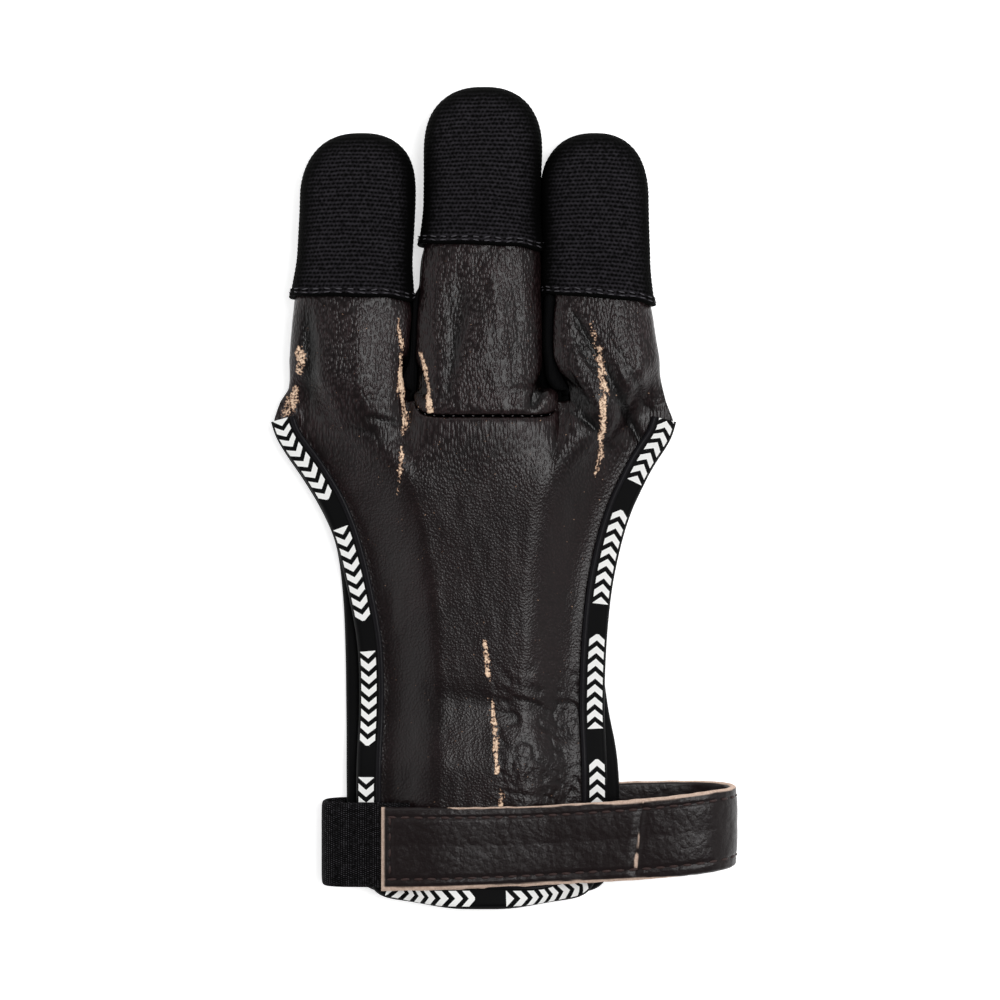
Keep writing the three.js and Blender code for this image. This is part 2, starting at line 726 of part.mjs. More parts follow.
// Leather strap: sewn end on the left, over the wrist, round the right-hand fold and back underneath
function strapPoints() {
  const place = ({ along, height, shift }) => new THREE.Vector3(
    along * strapReach, strapY + shift * strapWidth, height * loopHeight,
  );
  const points = strapRun.concat(strapFold).map(place);
  const backY = strapY + hiddenShift * strapWidth;
  points.push(new THREE.Vector3(strapReach * 0.78, backY, strapWall / 2));
  points.push(new THREE.Vector3(strapReach * 0.1, backY - 0.05 * strapWidth, strapWall / 2));
  points.push(new THREE.Vector3(strapEndX + patchLength / 2, strapY + 0.15 * strapWidth, strapWall / 2));
  return points;
}

function wristStrap() {
  const curve = new THREE.CatmullRomCurve3(strapPoints().slice(0, -2), false, 'centripetal');
  const path = curve.getPoints(strapSteps).concat(strapPoints().slice(-2));
  return bandSolid(path, strapWidth, strapWall);
}

// Elastic webbing: sewn under the strap's left end, round the left-hand fold and back underneath
function strapElastic() {
  const topZ = strapRun[0].height * loopHeight - strapWall / 2 - clearance - elasticWall / 2;
  const points = [
    new THREE.Vector3(elasticEndX, strapY, topZ + elasticRise),
    new THREE.Vector3((elasticEndX + strapLeftX) / 2, strapY, topZ + elasticRise * 0.4),
    new THREE.Vector3(strapLeftX, strapY, topZ),
  ];
  for (const { along, height } of elasticFold) {
    points.push(new THREE.Vector3(elasticReach * along, strapY, height * topZ));
  }
  points.push(new THREE.Vector3(elasticReach * 0.88, strapY, elasticWall / 2));
  points.push(new THREE.Vector3(strapEndX + patchLength / 2 - elasticTuck, strapY, elasticWall / 2));
  const bend = new THREE.CatmullRomCurve3(points.slice(0, -1), false, 'centripetal');
  const path = bend.getPoints(elasticSteps).concat(points.slice(-1));
  return bandSolid(path, elasticWidth, elasticWall);
}

// Hook-and-loop patch between the strap's hidden end, the elastic and the back of the glove
function strapClosure() {
  const geometry = new THREE.BoxGeometry(patchLength, strapWidth * 0.8, patchWall);
  const z = strapWall + clearance + patchWall / 2;
  geometry.translate(strapEndX + patchLength / 2, strapY + 0.1 * strapWidth, z);
  return geometry;
}

function piece(name, geometry, material) {
  const mesh = new THREE.Mesh(geometry, material);
  mesh.name = name;
  return mesh;
}

const glove = new THREE.Group();
glove.add(
  piece('leather_front', leatherFront(), leather),
  piece('middle_finger_leather', middleFingerLeather(), leather),
  piece('stretch_back', stretchBack(), stretchFabric),
  piece('cap_left', fingertipCap('left'), wovenNylon),
  piece('cap_middle', fingertipCap('middle'), wovenNylon),
  piece('cap_right', fingertipCap('right'), wovenNylon),
  piece('binding_front', edgeBinding(frontPanel, frontPoint, bindingStart, leatherWall, 1), bindingTape),
  piece('binding_back', edgeBinding(backPanel, backPoint, backBindingStart, stretchWall, -1), bindingTape),
  piece('wrist_strap', wristStrap(), strapLeather),
  piece('strap_elastic', strapElastic(), elasticWebbing),
  piece('strap_closure', strapClosure(), hookAndLoop),
);

// The origin is on the table under the middle of the whole glove
const box = new THREE.Box3().setFromObject(glove);
const middle = box.getCenter(new THREE.Vector3());
glove.position.set(-middle.x, -middle.y, -box.min.z);
glove.updateMatrixWorld(true);

export default glove;
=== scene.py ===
# Three-finger archery glove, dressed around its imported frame.
# Shapes are worked out in millimetres in the glove's own layout: X = 0 is the middle of the knuckles,
# Y = 0 the knuckle line, Z = 0 the table.
import math

import bpy
import numpy as np
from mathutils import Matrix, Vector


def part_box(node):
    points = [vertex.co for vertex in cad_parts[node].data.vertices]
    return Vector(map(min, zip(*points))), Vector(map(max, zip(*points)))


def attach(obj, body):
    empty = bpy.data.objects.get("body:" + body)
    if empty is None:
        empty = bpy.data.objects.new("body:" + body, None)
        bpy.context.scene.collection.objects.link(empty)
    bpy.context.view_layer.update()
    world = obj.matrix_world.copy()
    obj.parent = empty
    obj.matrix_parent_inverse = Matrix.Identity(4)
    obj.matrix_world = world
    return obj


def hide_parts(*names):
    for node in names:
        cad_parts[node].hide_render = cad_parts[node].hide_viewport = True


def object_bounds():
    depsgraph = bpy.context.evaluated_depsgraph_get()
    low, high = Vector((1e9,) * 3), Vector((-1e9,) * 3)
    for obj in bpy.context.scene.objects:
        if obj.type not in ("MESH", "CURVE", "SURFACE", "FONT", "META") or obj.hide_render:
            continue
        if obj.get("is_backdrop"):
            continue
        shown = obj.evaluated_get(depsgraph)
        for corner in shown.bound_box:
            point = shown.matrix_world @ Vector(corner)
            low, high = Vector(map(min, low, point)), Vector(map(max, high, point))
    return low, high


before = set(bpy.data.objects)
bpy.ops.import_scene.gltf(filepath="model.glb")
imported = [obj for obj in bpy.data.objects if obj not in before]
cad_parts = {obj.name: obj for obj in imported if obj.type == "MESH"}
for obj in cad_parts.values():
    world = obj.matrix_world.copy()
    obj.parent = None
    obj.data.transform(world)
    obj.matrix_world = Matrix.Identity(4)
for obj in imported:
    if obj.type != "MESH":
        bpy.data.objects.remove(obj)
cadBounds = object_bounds()
mm = 0.001

glove = {
    "palmLength": 130,
    "knuckleWidth": 107,
    "wristDip": 2.2,
    "wristBow": 3,
    "webLeft": -17.3,
    "webRight": 23.4,
    "stallHeight": 15.3,
    "palmHeight": 16.4,
    "edgeHeight": 7.6,
    "mouthRise": 2.3,
    "liftFrom": 0.6,
    "liftTo": 0.72,
    "crotchY": 8,
    "seamDrop": 3,
    "seamDip": 4.6,
    "seamGap": 0.5,
    "seamRoom": 0.8,
    "slotGap": 0.66,
    "clearance": 0.35,
    "leatherWall": 1.3,
    "stretchWall": 1.1,
    "tapeWall": 0.6,
    "sectionSquareness": 2.4,
    "rimShare": 0.9,
    "shoulderShare": 0.24,
    "outerSpan": (0.18, 0.9),
}

frontPanel = {
    "waist": 62.9,
    "wrist": 65.3,
    "waistShift": 2.2,
    "wristShift": 2.2,
    "leftFlare": "left",
    "edgeInset": 1.2,
    "wall": glove["leatherWall"],
    "bindingStart": -0.3,
    "side": 1,
}
backPanel = {
    "waist": 66.4,
    "wrist": 71.6,
    "waistShift": -0.6,
    "wristShift": 2.5,
    "leftFlare": "backLeft",
    "edgeInset": 2.4,
    "wall": glove["stretchWall"],
    "bindingStart": -6,
    "side": -1,
}

fingers = {
    "left": {"tip": 76.5, "hem": 32.1, "width": 31.4, "hemX": -32.3, "tipX": -29.9,
             "hemTilt": -0.5, "seamLeft": -12, "seamRight": 4},
    "middle": {"tip": 88.8, "hem": 45.8, "width": 32, "hemX": 2.2, "tipX": 2.7,
               "hemTilt": -0.8, "seamLeft": 14, "seamRight": 0},
    "right": {"tip": 76.5, "hem": 31.8, "width": 28, "hemX": 33.5, "tipX": 32.4,
              "hemTilt": -1.3, "seamLeft": 32, "seamRight": -12},
}

# Palm outline down from the knuckles: shares of the flare on each side, of the change to the wrist width
# and of the width left at the rounded wrist corners
palmOutline = {
    "down": [0, 0.035, 0.075, 0.11, 0.145, 0.18, 0.25, 0.35, 0.47, 0.6, 0.68, 0.76, 0.86, 0.92, 0.96, 1],
    "left": [1, 0.945, 0.8, 0.66, 0.545, 0.435, 0.287, 0.152, 0.04, 0, 0, 0, 0, 0, 0, 0],
    "backLeft": [1, 0.94, 0.785, 0.62, 0.475, 0.34, 0.14, 0.04, 0, 0, 0, 0, 0, 0, 0, 0],
    "right": [1, 0.94, 0.765, 0.63, 0.52, 0.41, 0.265, 0.13, 0.055, 0, 0, 0, 0, 0, 0, 0],
    "wrist": [0, 0, 0, 0, 0, 0, 0, 0, 0, 0.5, 0.85, 1, 1, 1, 1, 1],
    "corner": [1, 1, 1, 1, 1, 1, 1, 1, 1, 1, 1, 1, 0.99, 0.95, 0.88, 0.76],
}
palmSections = {
    "down": [0, 0.12, 0.3, 0.5, 0.62, 0.72, 0.93, 1],
    "crown": [1, 0.93, 0.8, 0.71, 0.69, 0.68, 0.68, 0.77],
    "edge": [1, 0.95, 0.86, 0.84, 0.84, 0.84, 0.84, 0.84],
}
stallSides = {
    "left": {
        "up": [0, 0.17, 0.27, 0.57, 0.9, 1],
        "left": [1, 0.66, 0.38, 0.14, 0.02, 0],
        "right": [1, 1, 0.8, 0.25, -0.3, 0],
    },
    "middle": {
        "up": [0, 0.12, 0.165, 0.21, 0.41, 0.57, 0.7, 0.93, 1],
        "left": [1, 1, 0.96, 0.9, 0.7, 0.6, 0.38, 0.15, 0],
        "right": [1, 1, 0.85, 0.2, 0.06, 0.06, 0, 0, 0],
    },
    "right": {
        "up": [0, 0.17, 0.28, 0.41, 0.57, 0.9, 1],
        "left": [1, 1, 0.66, 0.16, -0.12, -0.05, 0],
        "right": [1, 0.67, 0.6, 0.45, 0.3, 0.05, 0],
    },
}
frontFlattening = {"innerFrom": -2.2, "outerFrom": 0.2, "innerTo": 1, "outerTo": 2.2}
backFlattening = {"innerFrom": -0.4, "outerFrom": 0.1, "innerTo": 1, "outerTo": 2.2}
bindingWidth = 6.8
stallInCap = 12
stallNip = 0.1
farAway = 99


def smoothStep(value, low, high):
    share = np.clip((value - low) / (high - low), 0, 1)
    return share * share * (3 - 2 * share)


def mix(first, second, share):
    return first + (second - first) * share


def lookUp(table, key, at, column):
    # Smooth steps between the rows of a table
    keys = np.array(table[key], float)
    values = np.array(table[column], float)
    at = np.clip(at, keys[0], keys[-1])
    high = np.clip(np.searchsorted(keys, at), 1, len(keys) - 1)
    low = high - 1
    before = np.maximum(high - 2, 0)
    after = np.minimum(high + 1, len(keys) - 1)
    run = keys[high] - keys[low]
    share = (at - keys[low]) / run
    slopeLow = (values[high] - values[before]) / (keys[high] - keys[before]) * run
    slopeHigh = (values[after] - values[low]) / (keys[after] - keys[low]) * run
    rise = values[high] - values[low]
    bend = share * (1 - share) * ((1 - share) * (slopeLow - rise) - share * (slopeHigh - rise))
    return values[low] + share * rise + bend


# The panels' shares of the knuckle width, split where the stalls meet
webs = [(glove[web] + glove["knuckleWidth"] / 2) / glove["knuckleWidth"] for web in ("webLeft", "webRight")]
webHalf = glove["seamGap"] / glove["knuckleWidth"]
blockShares = {
    "left": (0, webs[0] - webHalf),
    "middle": (webs[0] + webHalf, webs[1] - webHalf),
    "right": (webs[1] + webHalf, 1),
}
capWall = 1.0
hemRise = 0.3
stallMiddleZ = glove["stallHeight"] / 2 + capWall + glove["clearance"] + hemRise

# The glove's own layout is shifted so that the tallest cap meets its node in the frame
capMiddleBesideHem = 0.02
lowestPoint = 0.006
capLow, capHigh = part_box("cap_middle")
shift = np.array([
    (capLow.x + capHigh.x) / 2 / mm - (fingers["middle"]["hemX"] + capMiddleBesideHem),
    capHigh.y / mm - fingers["middle"]["tip"],
    lowestPoint,
])


def panelEdges(panel, y):
    down = np.clip(-y / glove["palmLength"], 0, 1)
    wrist = lookUp(palmOutline, "down", down, "wrist")
    corner = lookUp(palmOutline, "down", down, "corner")
    half = mix(panel["waist"], panel["wrist"], wrist) / 2
    middle = mix(panel["waistShift"], panel["wristShift"], wrist)
    wide = glove["knuckleWidth"] / 2
    left = mix(middle - half * corner, -wide, lookUp(palmOutline, "down", down, panel["leftFlare"]))
    right = mix(middle + half * corner, wide, lookUp(palmOutline, "down", down, "right"))
    return left, right


def stallHalf(name, y):
    finger = fingers[name]
    inCap = smoothStep(y, finger["hem"] - stallInCap / 2, finger["hem"] + stallInCap)
    return finger["width"] / 2 * (1 - stallNip * inCap)


def stallMiddle(name, y):
    finger = fingers[name]
    lean = np.maximum(0, (y - finger["hem"]) / (finger["tip"] - finger["hem"]))
    return mix(finger["hemX"], finger["tipX"], lean)


def stallSpan(name, y):
    up = np.maximum(y, 0) / fingers[name]["hem"]
    half = stallHalf(name, y)
    middle = stallMiddle(name, y)
    wide = glove["knuckleWidth"] / 2
    baseLeft, baseRight = (mix(-wide, wide, share) for share in blockShares[name])
    left = mix(middle - half, baseLeft, lookUp(stallSides[name], "up", up, "left"))
    right = mix(middle + half, baseRight, lookUp(stallSides[name], "up", up, "right"))
    return left, right


def sectionPoint(angle, halfWidth, halfHeight):
    # Rounded-square section, with the angle counted from +X towards +Z
    power = 2 / glove["sectionSquareness"]
    across = np.sign(np.cos(angle)) * np.abs(np.cos(angle)) ** power * halfWidth
    up = np.sign(np.sin(angle)) * np.abs(np.sin(angle)) ** power * halfHeight
    return across, up


def strapLift(y):
    return glove["mouthRise"] * smoothStep(-y / glove["palmLength"], glove["liftFrom"], glove["liftTo"])


def palmTop(share, y, width):
    down = np.clip(-y / glove["palmLength"], 0, 1)
    edge = glove["edgeHeight"] * lookUp(palmSections, "down", down, "edge") + strapLift(y)
    crown = glove["palmHeight"] * lookUp(palmSections, "down", down, "crown") + strapLift(y)
    fromEdge = np.minimum(share, 1 - share) * width
    start = bindingWidth * glove["rimShare"]
    shoulder = smoothStep(fromEdge, start, bindingWidth + width * glove["shoulderShare"])
    return mix(edge, crown, shoulder)


def outerShare(name, t):
    inwards = {"left": t, "middle": np.ones_like(t), "right": 1 - t}[name]
    return 1 - smoothStep(inwards, *glove["outerSpan"])


def flatShare(flattening, outer, y):
    start = mix(flattening["innerFrom"], flattening["outerFrom"], outer) * glove["crotchY"]
    end = mix(flattening["innerTo"], flattening["outerTo"], outer) * glove["crotchY"]
    return 1 - smoothStep(y, start, end)


def panelPoint(name, t, y, panel, flattening, angle, palmZ):
    # A stall's tube that flattens into a panel of the palm
    left, right = stallSpan(name, y)
    across, up = sectionPoint(angle, (right - left) / 2, glove["stallHeight"] / 2)
    blend = flatShare(flattening, outerShare(name, t), y)
    palmLeft, palmRight = panelEdges(panel, y)
    share = mix(*blockShares[name], t)
    palmX = np.where(y > 0, mix(left, right, t), mix(palmLeft, palmRight, share))
    x = mix((left + right) / 2 + across, palmX, blend)
    z = mix(stallMiddleZ + up, palmZ(share, y, palmRight - palmLeft), blend)
    return x, z, up + blend * glove["stallHeight"]


def frontPoint(name, t, y):
    finger = fingers[name]
    angle = np.radians(mix(180 - finger["seamLeft"], finger["seamRight"], t))
    x, z, height = panelPoint(name, t, y, frontPanel, frontFlattening, angle, palmTop)
    z = z - foldDepth(mainFolds, x, y) * smoothStep(height, 0, glove["stallHeight"] / 3)
    return np.stack([x, y + 0 * x, z], axis=-1)


def backPoint(name, t, y):
    finger = fingers[name]
    slack = math.degrees(glove["seamRoom"] / (finger["width"] / 2))
    angle = np.radians(mix(-180 - finger["seamLeft"] + slack, finger["seamRight"] - slack, t))
    underside = lambda share, y, width: glove["slotGap"] + glove["tapeWall"] + strapLift(y) + 0 * share
    x, z = panelPoint(name, t, y, backPanel, backFlattening, angle, underside)[:2]
    return np.stack([x, y + 0 * x, z], axis=-1)


def seamY(t):
    return glove["crotchY"] - glove["seamDrop"] - glove["seamDip"] * (1 - (2 * t - 1) ** 6)


def wristY(panel, share):
    dip = glove["wristDip"] * np.abs(2 * share - 1) ** glove["wristBow"]
    return -glove["palmLength"] + panel["edgeInset"] + dip


def surface(pointAt, name, t, y, outward):
    # Points of a panel with their outward normals
    step = 0.01
    stepY = step * 10
    across = pointAt(name, t + step, y) - pointAt(name, t - step, y)
    along = pointAt(name, t, y + stepY) - pointAt(name, t, y - stepY)
    normal = np.cross(across, along) * outward
    normal /= np.linalg.norm(normal, axis=-1, keepdims=True)
    return pointAt(name, t, y), normal


# Folds and creases: each column is one soft groove from one point to another, in millimetres
foldRows = ("fromX", "fromY", "toX", "toY", "depth", "width")
foldEnd = 0.15
mainFolds = {
    "fromX": [-43.9, -3.2, 27.3, 23.0, -30.0, -16.1],
    "fromY": [26.0, 36.4, 24.7, 10.4, -1.3, -72.8],
    "toX": [-43.3, -5.9, 44.9, 35.3, -18.2, 21.4],
    "toY": [3.9, 18.2, -5.2, -6.5, -6.5, -78.0],
    "depth": [0.98, 1.04, 0.85, 0.78, 0.52, 0.46],
    "width": [3.1, 3.1, 2.9, 2.9, 3.1, 3.6],
}


def segmentDistance(x, y, start, end):
    run = np.array(end, float) - start
    t = np.clip(((x - start[0]) * run[0] + (y - start[1]) * run[1]) / (run @ run), 0, 1)
    return np.hypot(x - start[0] - run[0] * t, y - start[1] - run[1] * t), t


def foldDepth(folds, x, y):
    # Depth of all the grooves at each point, each one shallower towards its ends
    depth = 0
    for x1, y1, x2, y2, deep, wide in zip(*(folds[key] for key in foldRows)):
        away, t = segmentDistance(x, y, (x1, y1), (x2, y2))
        depth = depth + deep * np.exp(-(away / wide) ** 2) * np.sin(np.pi * mix(foldEnd, 1 - foldEnd, t))
    return depth


def grainNoise(x, y, spacing, seed):
    # Smooth seeded noise between -1 and 1, from random values on a grid with the given spacing
    cells = 64
    rng = np.random.default_rng(seed)
    grid = rng.uniform(-1, 1, (cells, cells))
    u = np.asarray(x / spacing[0]) % cells
    v = np.asarray(y / spacing[1]) % cells
    col = np.floor(u).astype(int)
    row = np.floor(v).astype(int)
    fu = u - col
    fv = v - row
    fu = fu * fu * (3 - 2 * fu)
    fv = fv * fv * (3 - 2 * fv)
    corner = lambda r, c: grid[(row + r) % cells, (col + c) % cells]
    low = mix(corner(0, 0), corner(0, 1), fu)
    high = mix(corner(1, 0), corner(1, 1), fu)
    return mix(low, high, fv)


def turned(x, y, degrees):
    turn = math.radians(degrees)
    return x * math.cos(turn) + y * math.sin(turn), y * math.cos(turn) - x * math.sin(turn)


def addMesh(name, points, faces, attributes=None):
    # A smooth mesh piece from points in the glove's layout and rows of corner numbers
    mesh = bpy.data.meshes.new(name)
    placed = (np.asarray(points, float).reshape(-1, 3) + shift) * mm
    placed[:, 2] = np.maximum(placed[:, 2], 0)
    used = np.unique(np.concatenate([np.asarray(part).ravel() for part in faces]))
    order = np.full(len(placed), -1)
    order[used] = np.arange(len(used))
    corners = np.concatenate([order[np.asarray(part)].ravel() for part in faces])
    totals = np.concatenate([np.full(len(part), np.asarray(part).shape[1]) for part in faces])
    mesh.vertices.add(len(used))
    mesh.vertices.foreach_set("co", placed[used].ravel())
    mesh.loops.add(len(corners))
    mesh.loops.foreach_set("vertex_index", corners)
    mesh.polygons.add(len(totals))
    mesh.polygons.foreach_set("loop_start", np.concatenate([[0], np.cumsum(totals)[:-1]]))
    mesh.polygons.foreach_set("use_smooth", np.ones(len(totals), bool))
    for key, values in (attributes or {}).items():
        layer = mesh.attributes.new(key, "FLOAT", "POINT")
        layer.data.foreach_set("value", np.asarray(values, float).ravel()[used])
    mesh.update(calc_edges=True)
    mesh.validate()
    piece = bpy.data.objects.new(name, mesh)
    bpy.context.scene.collection.objects.link(piece)
    return piece


def dress(piece, material, slotName, *nodes):
    # Hands a finished piece to the frame
    if material is not None:
        piece.data.materials.clear()
        piece.data.materials.append(material)
    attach(piece, "root")
    if nodes:
        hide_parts(*nodes)


def sheetFaces(cells, flip=False):
    # Corner numbers of a wall's outer side, inner side and free edges, for the lattice cells that exist
    rows, columns = cells.shape[0] + 1, cells.shape[1] + 1
    number = np.arange(rows * columns).reshape(rows, columns)
    inner = rows * columns
    r, c = np.nonzero(cells)
    ring = [number[r, c], number[r + 1, c], number[r + 1, c + 1], number[r, c + 1]]
    outside = np.stack(ring, axis=1)
    inside = outside[:, ::-1] + inner
    padded = np.pad(cells, 1)
    beside = [padded[r + 1, c], padded[r + 2, c + 1], padded[r + 1, c + 2], padded[r, c + 1]]
    parts = [outside, inside]
    for side in range(4):
        free = ~beside[side]
        start, end = ring[side][free], ring[(side + 1) % 4][free]
        parts.append(np.stack([end, start, start + inner, end + inner], axis=1))
    faces = np.concatenate(parts)
    return faces[:, ::-1] if flip else faces


def blockLattice(pointAt, columns, heights, outward):
    # Lattice over the three stalls' blocks: heights gives each block's rows of Y for its shares across
    points, normals, shares = [], [], []
    for name, count in columns.items():
        t = np.linspace(0, 1, count + 1)
        y = heights(name, t)
        t = np.broadcast_to(t, y.shape)
        place, normal = surface(pointAt, name, t, y, outward)
        points.append(place)
        normals.append(normal)
        shares.append(t)
    return np.concatenate(points, axis=1), np.concatenate(normals, axis=1), shares


# Leather: one skin over the palm and the two outer stalls, and a second skin on the middle stall
leatherLook = {
    "columns": {"left": 50, "middle": 54, "right": 54},
    "stallRows": 66,
    "palmRows": 178,
    "middleColumns": 73,
    "middleRows": 104,
    "wall": glove["leatherWall"],
    "stallWrap": 1.35,
    "edgeRoll": 0.55,
    "edgeRollWidth": 0.8,
    "edgeRollY": (4, 9),
    "flatBelowHem": 0.5,
    "flatAboveHem": 1,
    "drawnY": (-26, 6),
}

reliefLook = {
    # Noise as rows of height, grain size in millimetres and seed. Waves have a height for palm and stalls
    "stallY": (-8, 6),
    "waves": [(0.12, 0.22, (13, 17), 3), (0.05, 0.1, (5, 7), 5)],
    "pleatTurn": 6,
    "pleats": [(0.14, (1.7, 9), 7), (0.09, (1.1, 5), 11)],
    "palmY": (4, 20),
    "palmPleats": (0.06, (2.4, 6), 19),
    "crackle": 0.8,
}
crackleLook = {
    "startsDown": (60, 74),
    "endsDown": (102, 110),
    "startsX": (1, 10),
    "turn": -12,
    "warp": (0.4, (3, 3), 15),
    "lines": (3.2, (4.5, 1.5), 13),
    "depth": 0.42,
    "softness": 1.5,
}
# Painted shade in the creases: how much the folds and the crackle count, and the depth at which the colour
# is darkest
creaseShadeLook = {"folds": 0.45, "crackle": 1.1, "fullDepth": 0.8}
scuffLook = {"ragged": (0.35, (1.4, 2.2), 41), "core": 0.45, "fade": 1.35}

creases = {
    # The middle stall's lobes, the creases over the right stall, and those that fan out from the webs
    "fromX": [20.2, -17.4, -17.4, 25.8, 26.4, 27.2, 33.3, 23.1, 25.0, 25.8, 21.3, -44.0, -34.0, -28.0, 12.0,
              -4.0, 38.5],
    "fromY": [13.4, 15.5, 11.4, 28.6, 22.7, 26.8, 17.4, 11.2, 12.3, 2.1, 12.8, 29.0, -1.3, 0.6, 33.0,
              24.0, 18.0],
    "toX": [15.9, -13.2, -14.0, 33.3, 32.2, 44.5, 44.5, 31.2, 29.8, 33.9, 35.2, -43.0, -25.7, -19.7, 10.5,
            -7.0, 47.0],
    "toY": [3.6, 7.2, 7.8, 16.0, 12.8, -5.4, -5.4, 3.2, 5.4, -3.5, -6.7, 6.0, -4.8, -1.4, 8.0, 6.0, 2.0],
    "depth": [2.0, 2.2, 1.8, 0.7, 0.65, 0.7, 0.6, 1.2, 0.8, 0.75, 0.6, 0.9, 0.5, 0.5, 0.3, 0.6, 0.5],
    "width": [1.4, 1.6, 1.5, 0.85, 0.85, 0.9, 1.1, 0.95, 0.8, 0.8, 0.9, 1.7, 0.7, 0.7, 1.6, 1.5, 1.2],
}

ridges = {
    # Soft raised strips that catch the light: up each stall, and along the middle stall's left side
    "fromX": [-30.5, 6.5, -14.3, 38.0, 30.0],
    "fromY": [30.0, 42.0, 38.0, 28.0, 10.0],
    "toX": [-30.0, 5.0, -14.3, 41.5, 38.0],
    "toY": [6.0, 14.0, 16.0, 8.0, -6.0],
    "depth": [0.6, 0.55, 0.3, 0.5, 0.35],
    "width": [3.2, 3.4, 1.4, 3.0, 2.4],
}

scuffs = {
    # Strokes where the black finish is rubbed off to the tan hide: X, Y, half width, strength
    "left stall, outer edge": [(-46.2, 18.3, 1.2, 0.75), (-45.8, 15.5, 1.5, 0.95), (-46.4, 12.8, 1.2, 0.7)],
    "left stall, corner": [(-47.6, 8.6, 1.3, 0.85), (-48.2, 5.4, 2.0, 1), (-49.8, 2.0, 1.7, 0.95)],
    "left stall, inner top": [(-20.0, 26.5, 0.45, 0.8), (-19.3, 22.0, 0.7, 1), (-18.9, 18.6, 0.6, 0.9)],
    "left stall, inner edge": [(-19.1, 17.0, 0.6, 0.9), (-19.1, 12.0, 0.9, 1.1), (-19.1, 8.0, 1.2, 1.2),
                               (-19.3, 6.7, 1.1, 1.1)],
    "below the left web": [(-18.9, 5.2, 0.5, 0.8), (-18.2, 1.5, 0.9, 1), (-18.4, -2.5, 0.7, 0.9),
                           (-18.9, -4.5, 0.4, 0.7)],
    "palm, left": [(-19.1, -6.5, 0.4, 0.75), (-18.8, -9.4, 0.8, 0.95), (-19.3, -13.0, 0.7, 0.9),
                   (-19.6, -16.5, 0.5, 0.8), (-20.2, -20.1, 0.4, 0.7)],
    "middle stall": [(-14.2, 17.9, 0.5, 0.85), (-12.9, 13.0, 0.85, 1.05), (-12.1, 8.0, 0.9, 1.1),
                     (-11.7, 2.2, 1.15, 1.15)],
    "right stall": [(31.2, 25.4, 0.6, 0.7), (33.3, 16.1, 0.9, 1), (34.4, 8.0, 1.1, 1), (34.4, -2.7, 1.1, 1),
                    (33.9, -9.4, 0.9, 0.9), (32.5, -14.7, 0.5, 0.7)],
    "palm, upper": [(3.1, -58.9, 0.7, 0.9), (3.9, -66.4, 0.9, 1), (4.4, -69.6, 0.6, 0.8)],
    "palm, lower": [(5.0, -74.9, 0.7, 0.9), (5.8, -84.0, 0.9, 1), (6.3, -93.7, 0.7, 0.9)],
    "palm, wrist": [(7.4, -99.0, 0.7, 0.9), (7.4, -104.0, 0.8, 0.9)],
}


def scuffAt(x, y, strokes):
    # How far each point of the leather is rubbed: 1 in the middle of a stroke, 0 away from it
    amount, size, seed = scuffLook["ragged"]
    ragged = amount * grainNoise(x, y, size, seed)
    rubbed = 0 * x
    for stroke in strokes.values():
        for (x1, y1, w1, s1), (x2, y2, w2, s2) in zip(stroke, stroke[1:]):
            away, t = segmentDistance(x, y, (x1, y1), (x2, y2))
            reach = mix(w1, w2, t) * (1 + ragged)
            within = 1 - smoothStep(away / reach, scuffLook["core"], scuffLook["fade"])
            rubbed = np.maximum(rubbed, mix(s1, s2, t) * within)
    return rubbed


def paintedCreaseShadeAt(x, y):
    # How deep in a crease each point lies, where the light doesn't reach: painted shade that darkens the
    # leather's colour there
    look = creaseShadeLook
    depth = foldDepth(creases, x, y) + look["folds"] * foldDepth(mainFolds, x, y)
    return np.clip((depth + look["crackle"] * crackle(x, y)) / look["fullDepth"], 0, 1)


def crackle(x, y):
    # Fine wavy creases across the lower palm on its right
    look = crackleLook
    within = smoothStep(-y, *look["startsDown"]) * (1 - smoothStep(-y, *look["endsDown"]))
    within = within * smoothStep(x, *look["startsX"])
    u, v = turned(x, y, look["turn"])
    amount, size, seed = look["warp"]
    warp = amount * grainNoise(u, v, size, seed)
    narrow, size, seed = look["lines"]
    lines = 1 - np.abs(grainNoise(u, v + warp, size, seed)) * narrow
    return within * look["depth"] * np.clip(lines, 0, 1) ** look["softness"]


def leatherRelief(x, y):
    # Soft waves, long pleats up the stalls, and a fine crackle across the lower palm
    look = reliefLook
    onStall = smoothStep(y, *look["stallY"])
    waves = sum(mix(palm, stall, onStall) * grainNoise(x, y, size, seed)
                for palm, stall, size, seed in look["waves"])
    u, v = turned(x, y, look["pleatTurn"])
    pleats = sum(height * grainNoise(u, v, size, seed) for height, size, seed in look["pleats"])
    height, size, seed = look["palmPleats"]
    onPalm = smoothStep(-y, *look["palmY"]) * height * grainNoise(x, y, size, seed)
    folded = foldDepth(ridges, x, y) - foldDepth(creases, x, y) - look["crackle"] * crackle(x, y)
    return waves + onStall * pleats + onPalm + folded


def shellPoints(place, normal, relief, wall):
    # The outer side with its relief, and then the inner side a wall below it
    outer = place + normal * relief[..., None]
    inner = place - normal * wall
    return np.concatenate([outer.reshape(-1, 3), inner.reshape(-1, 3)])


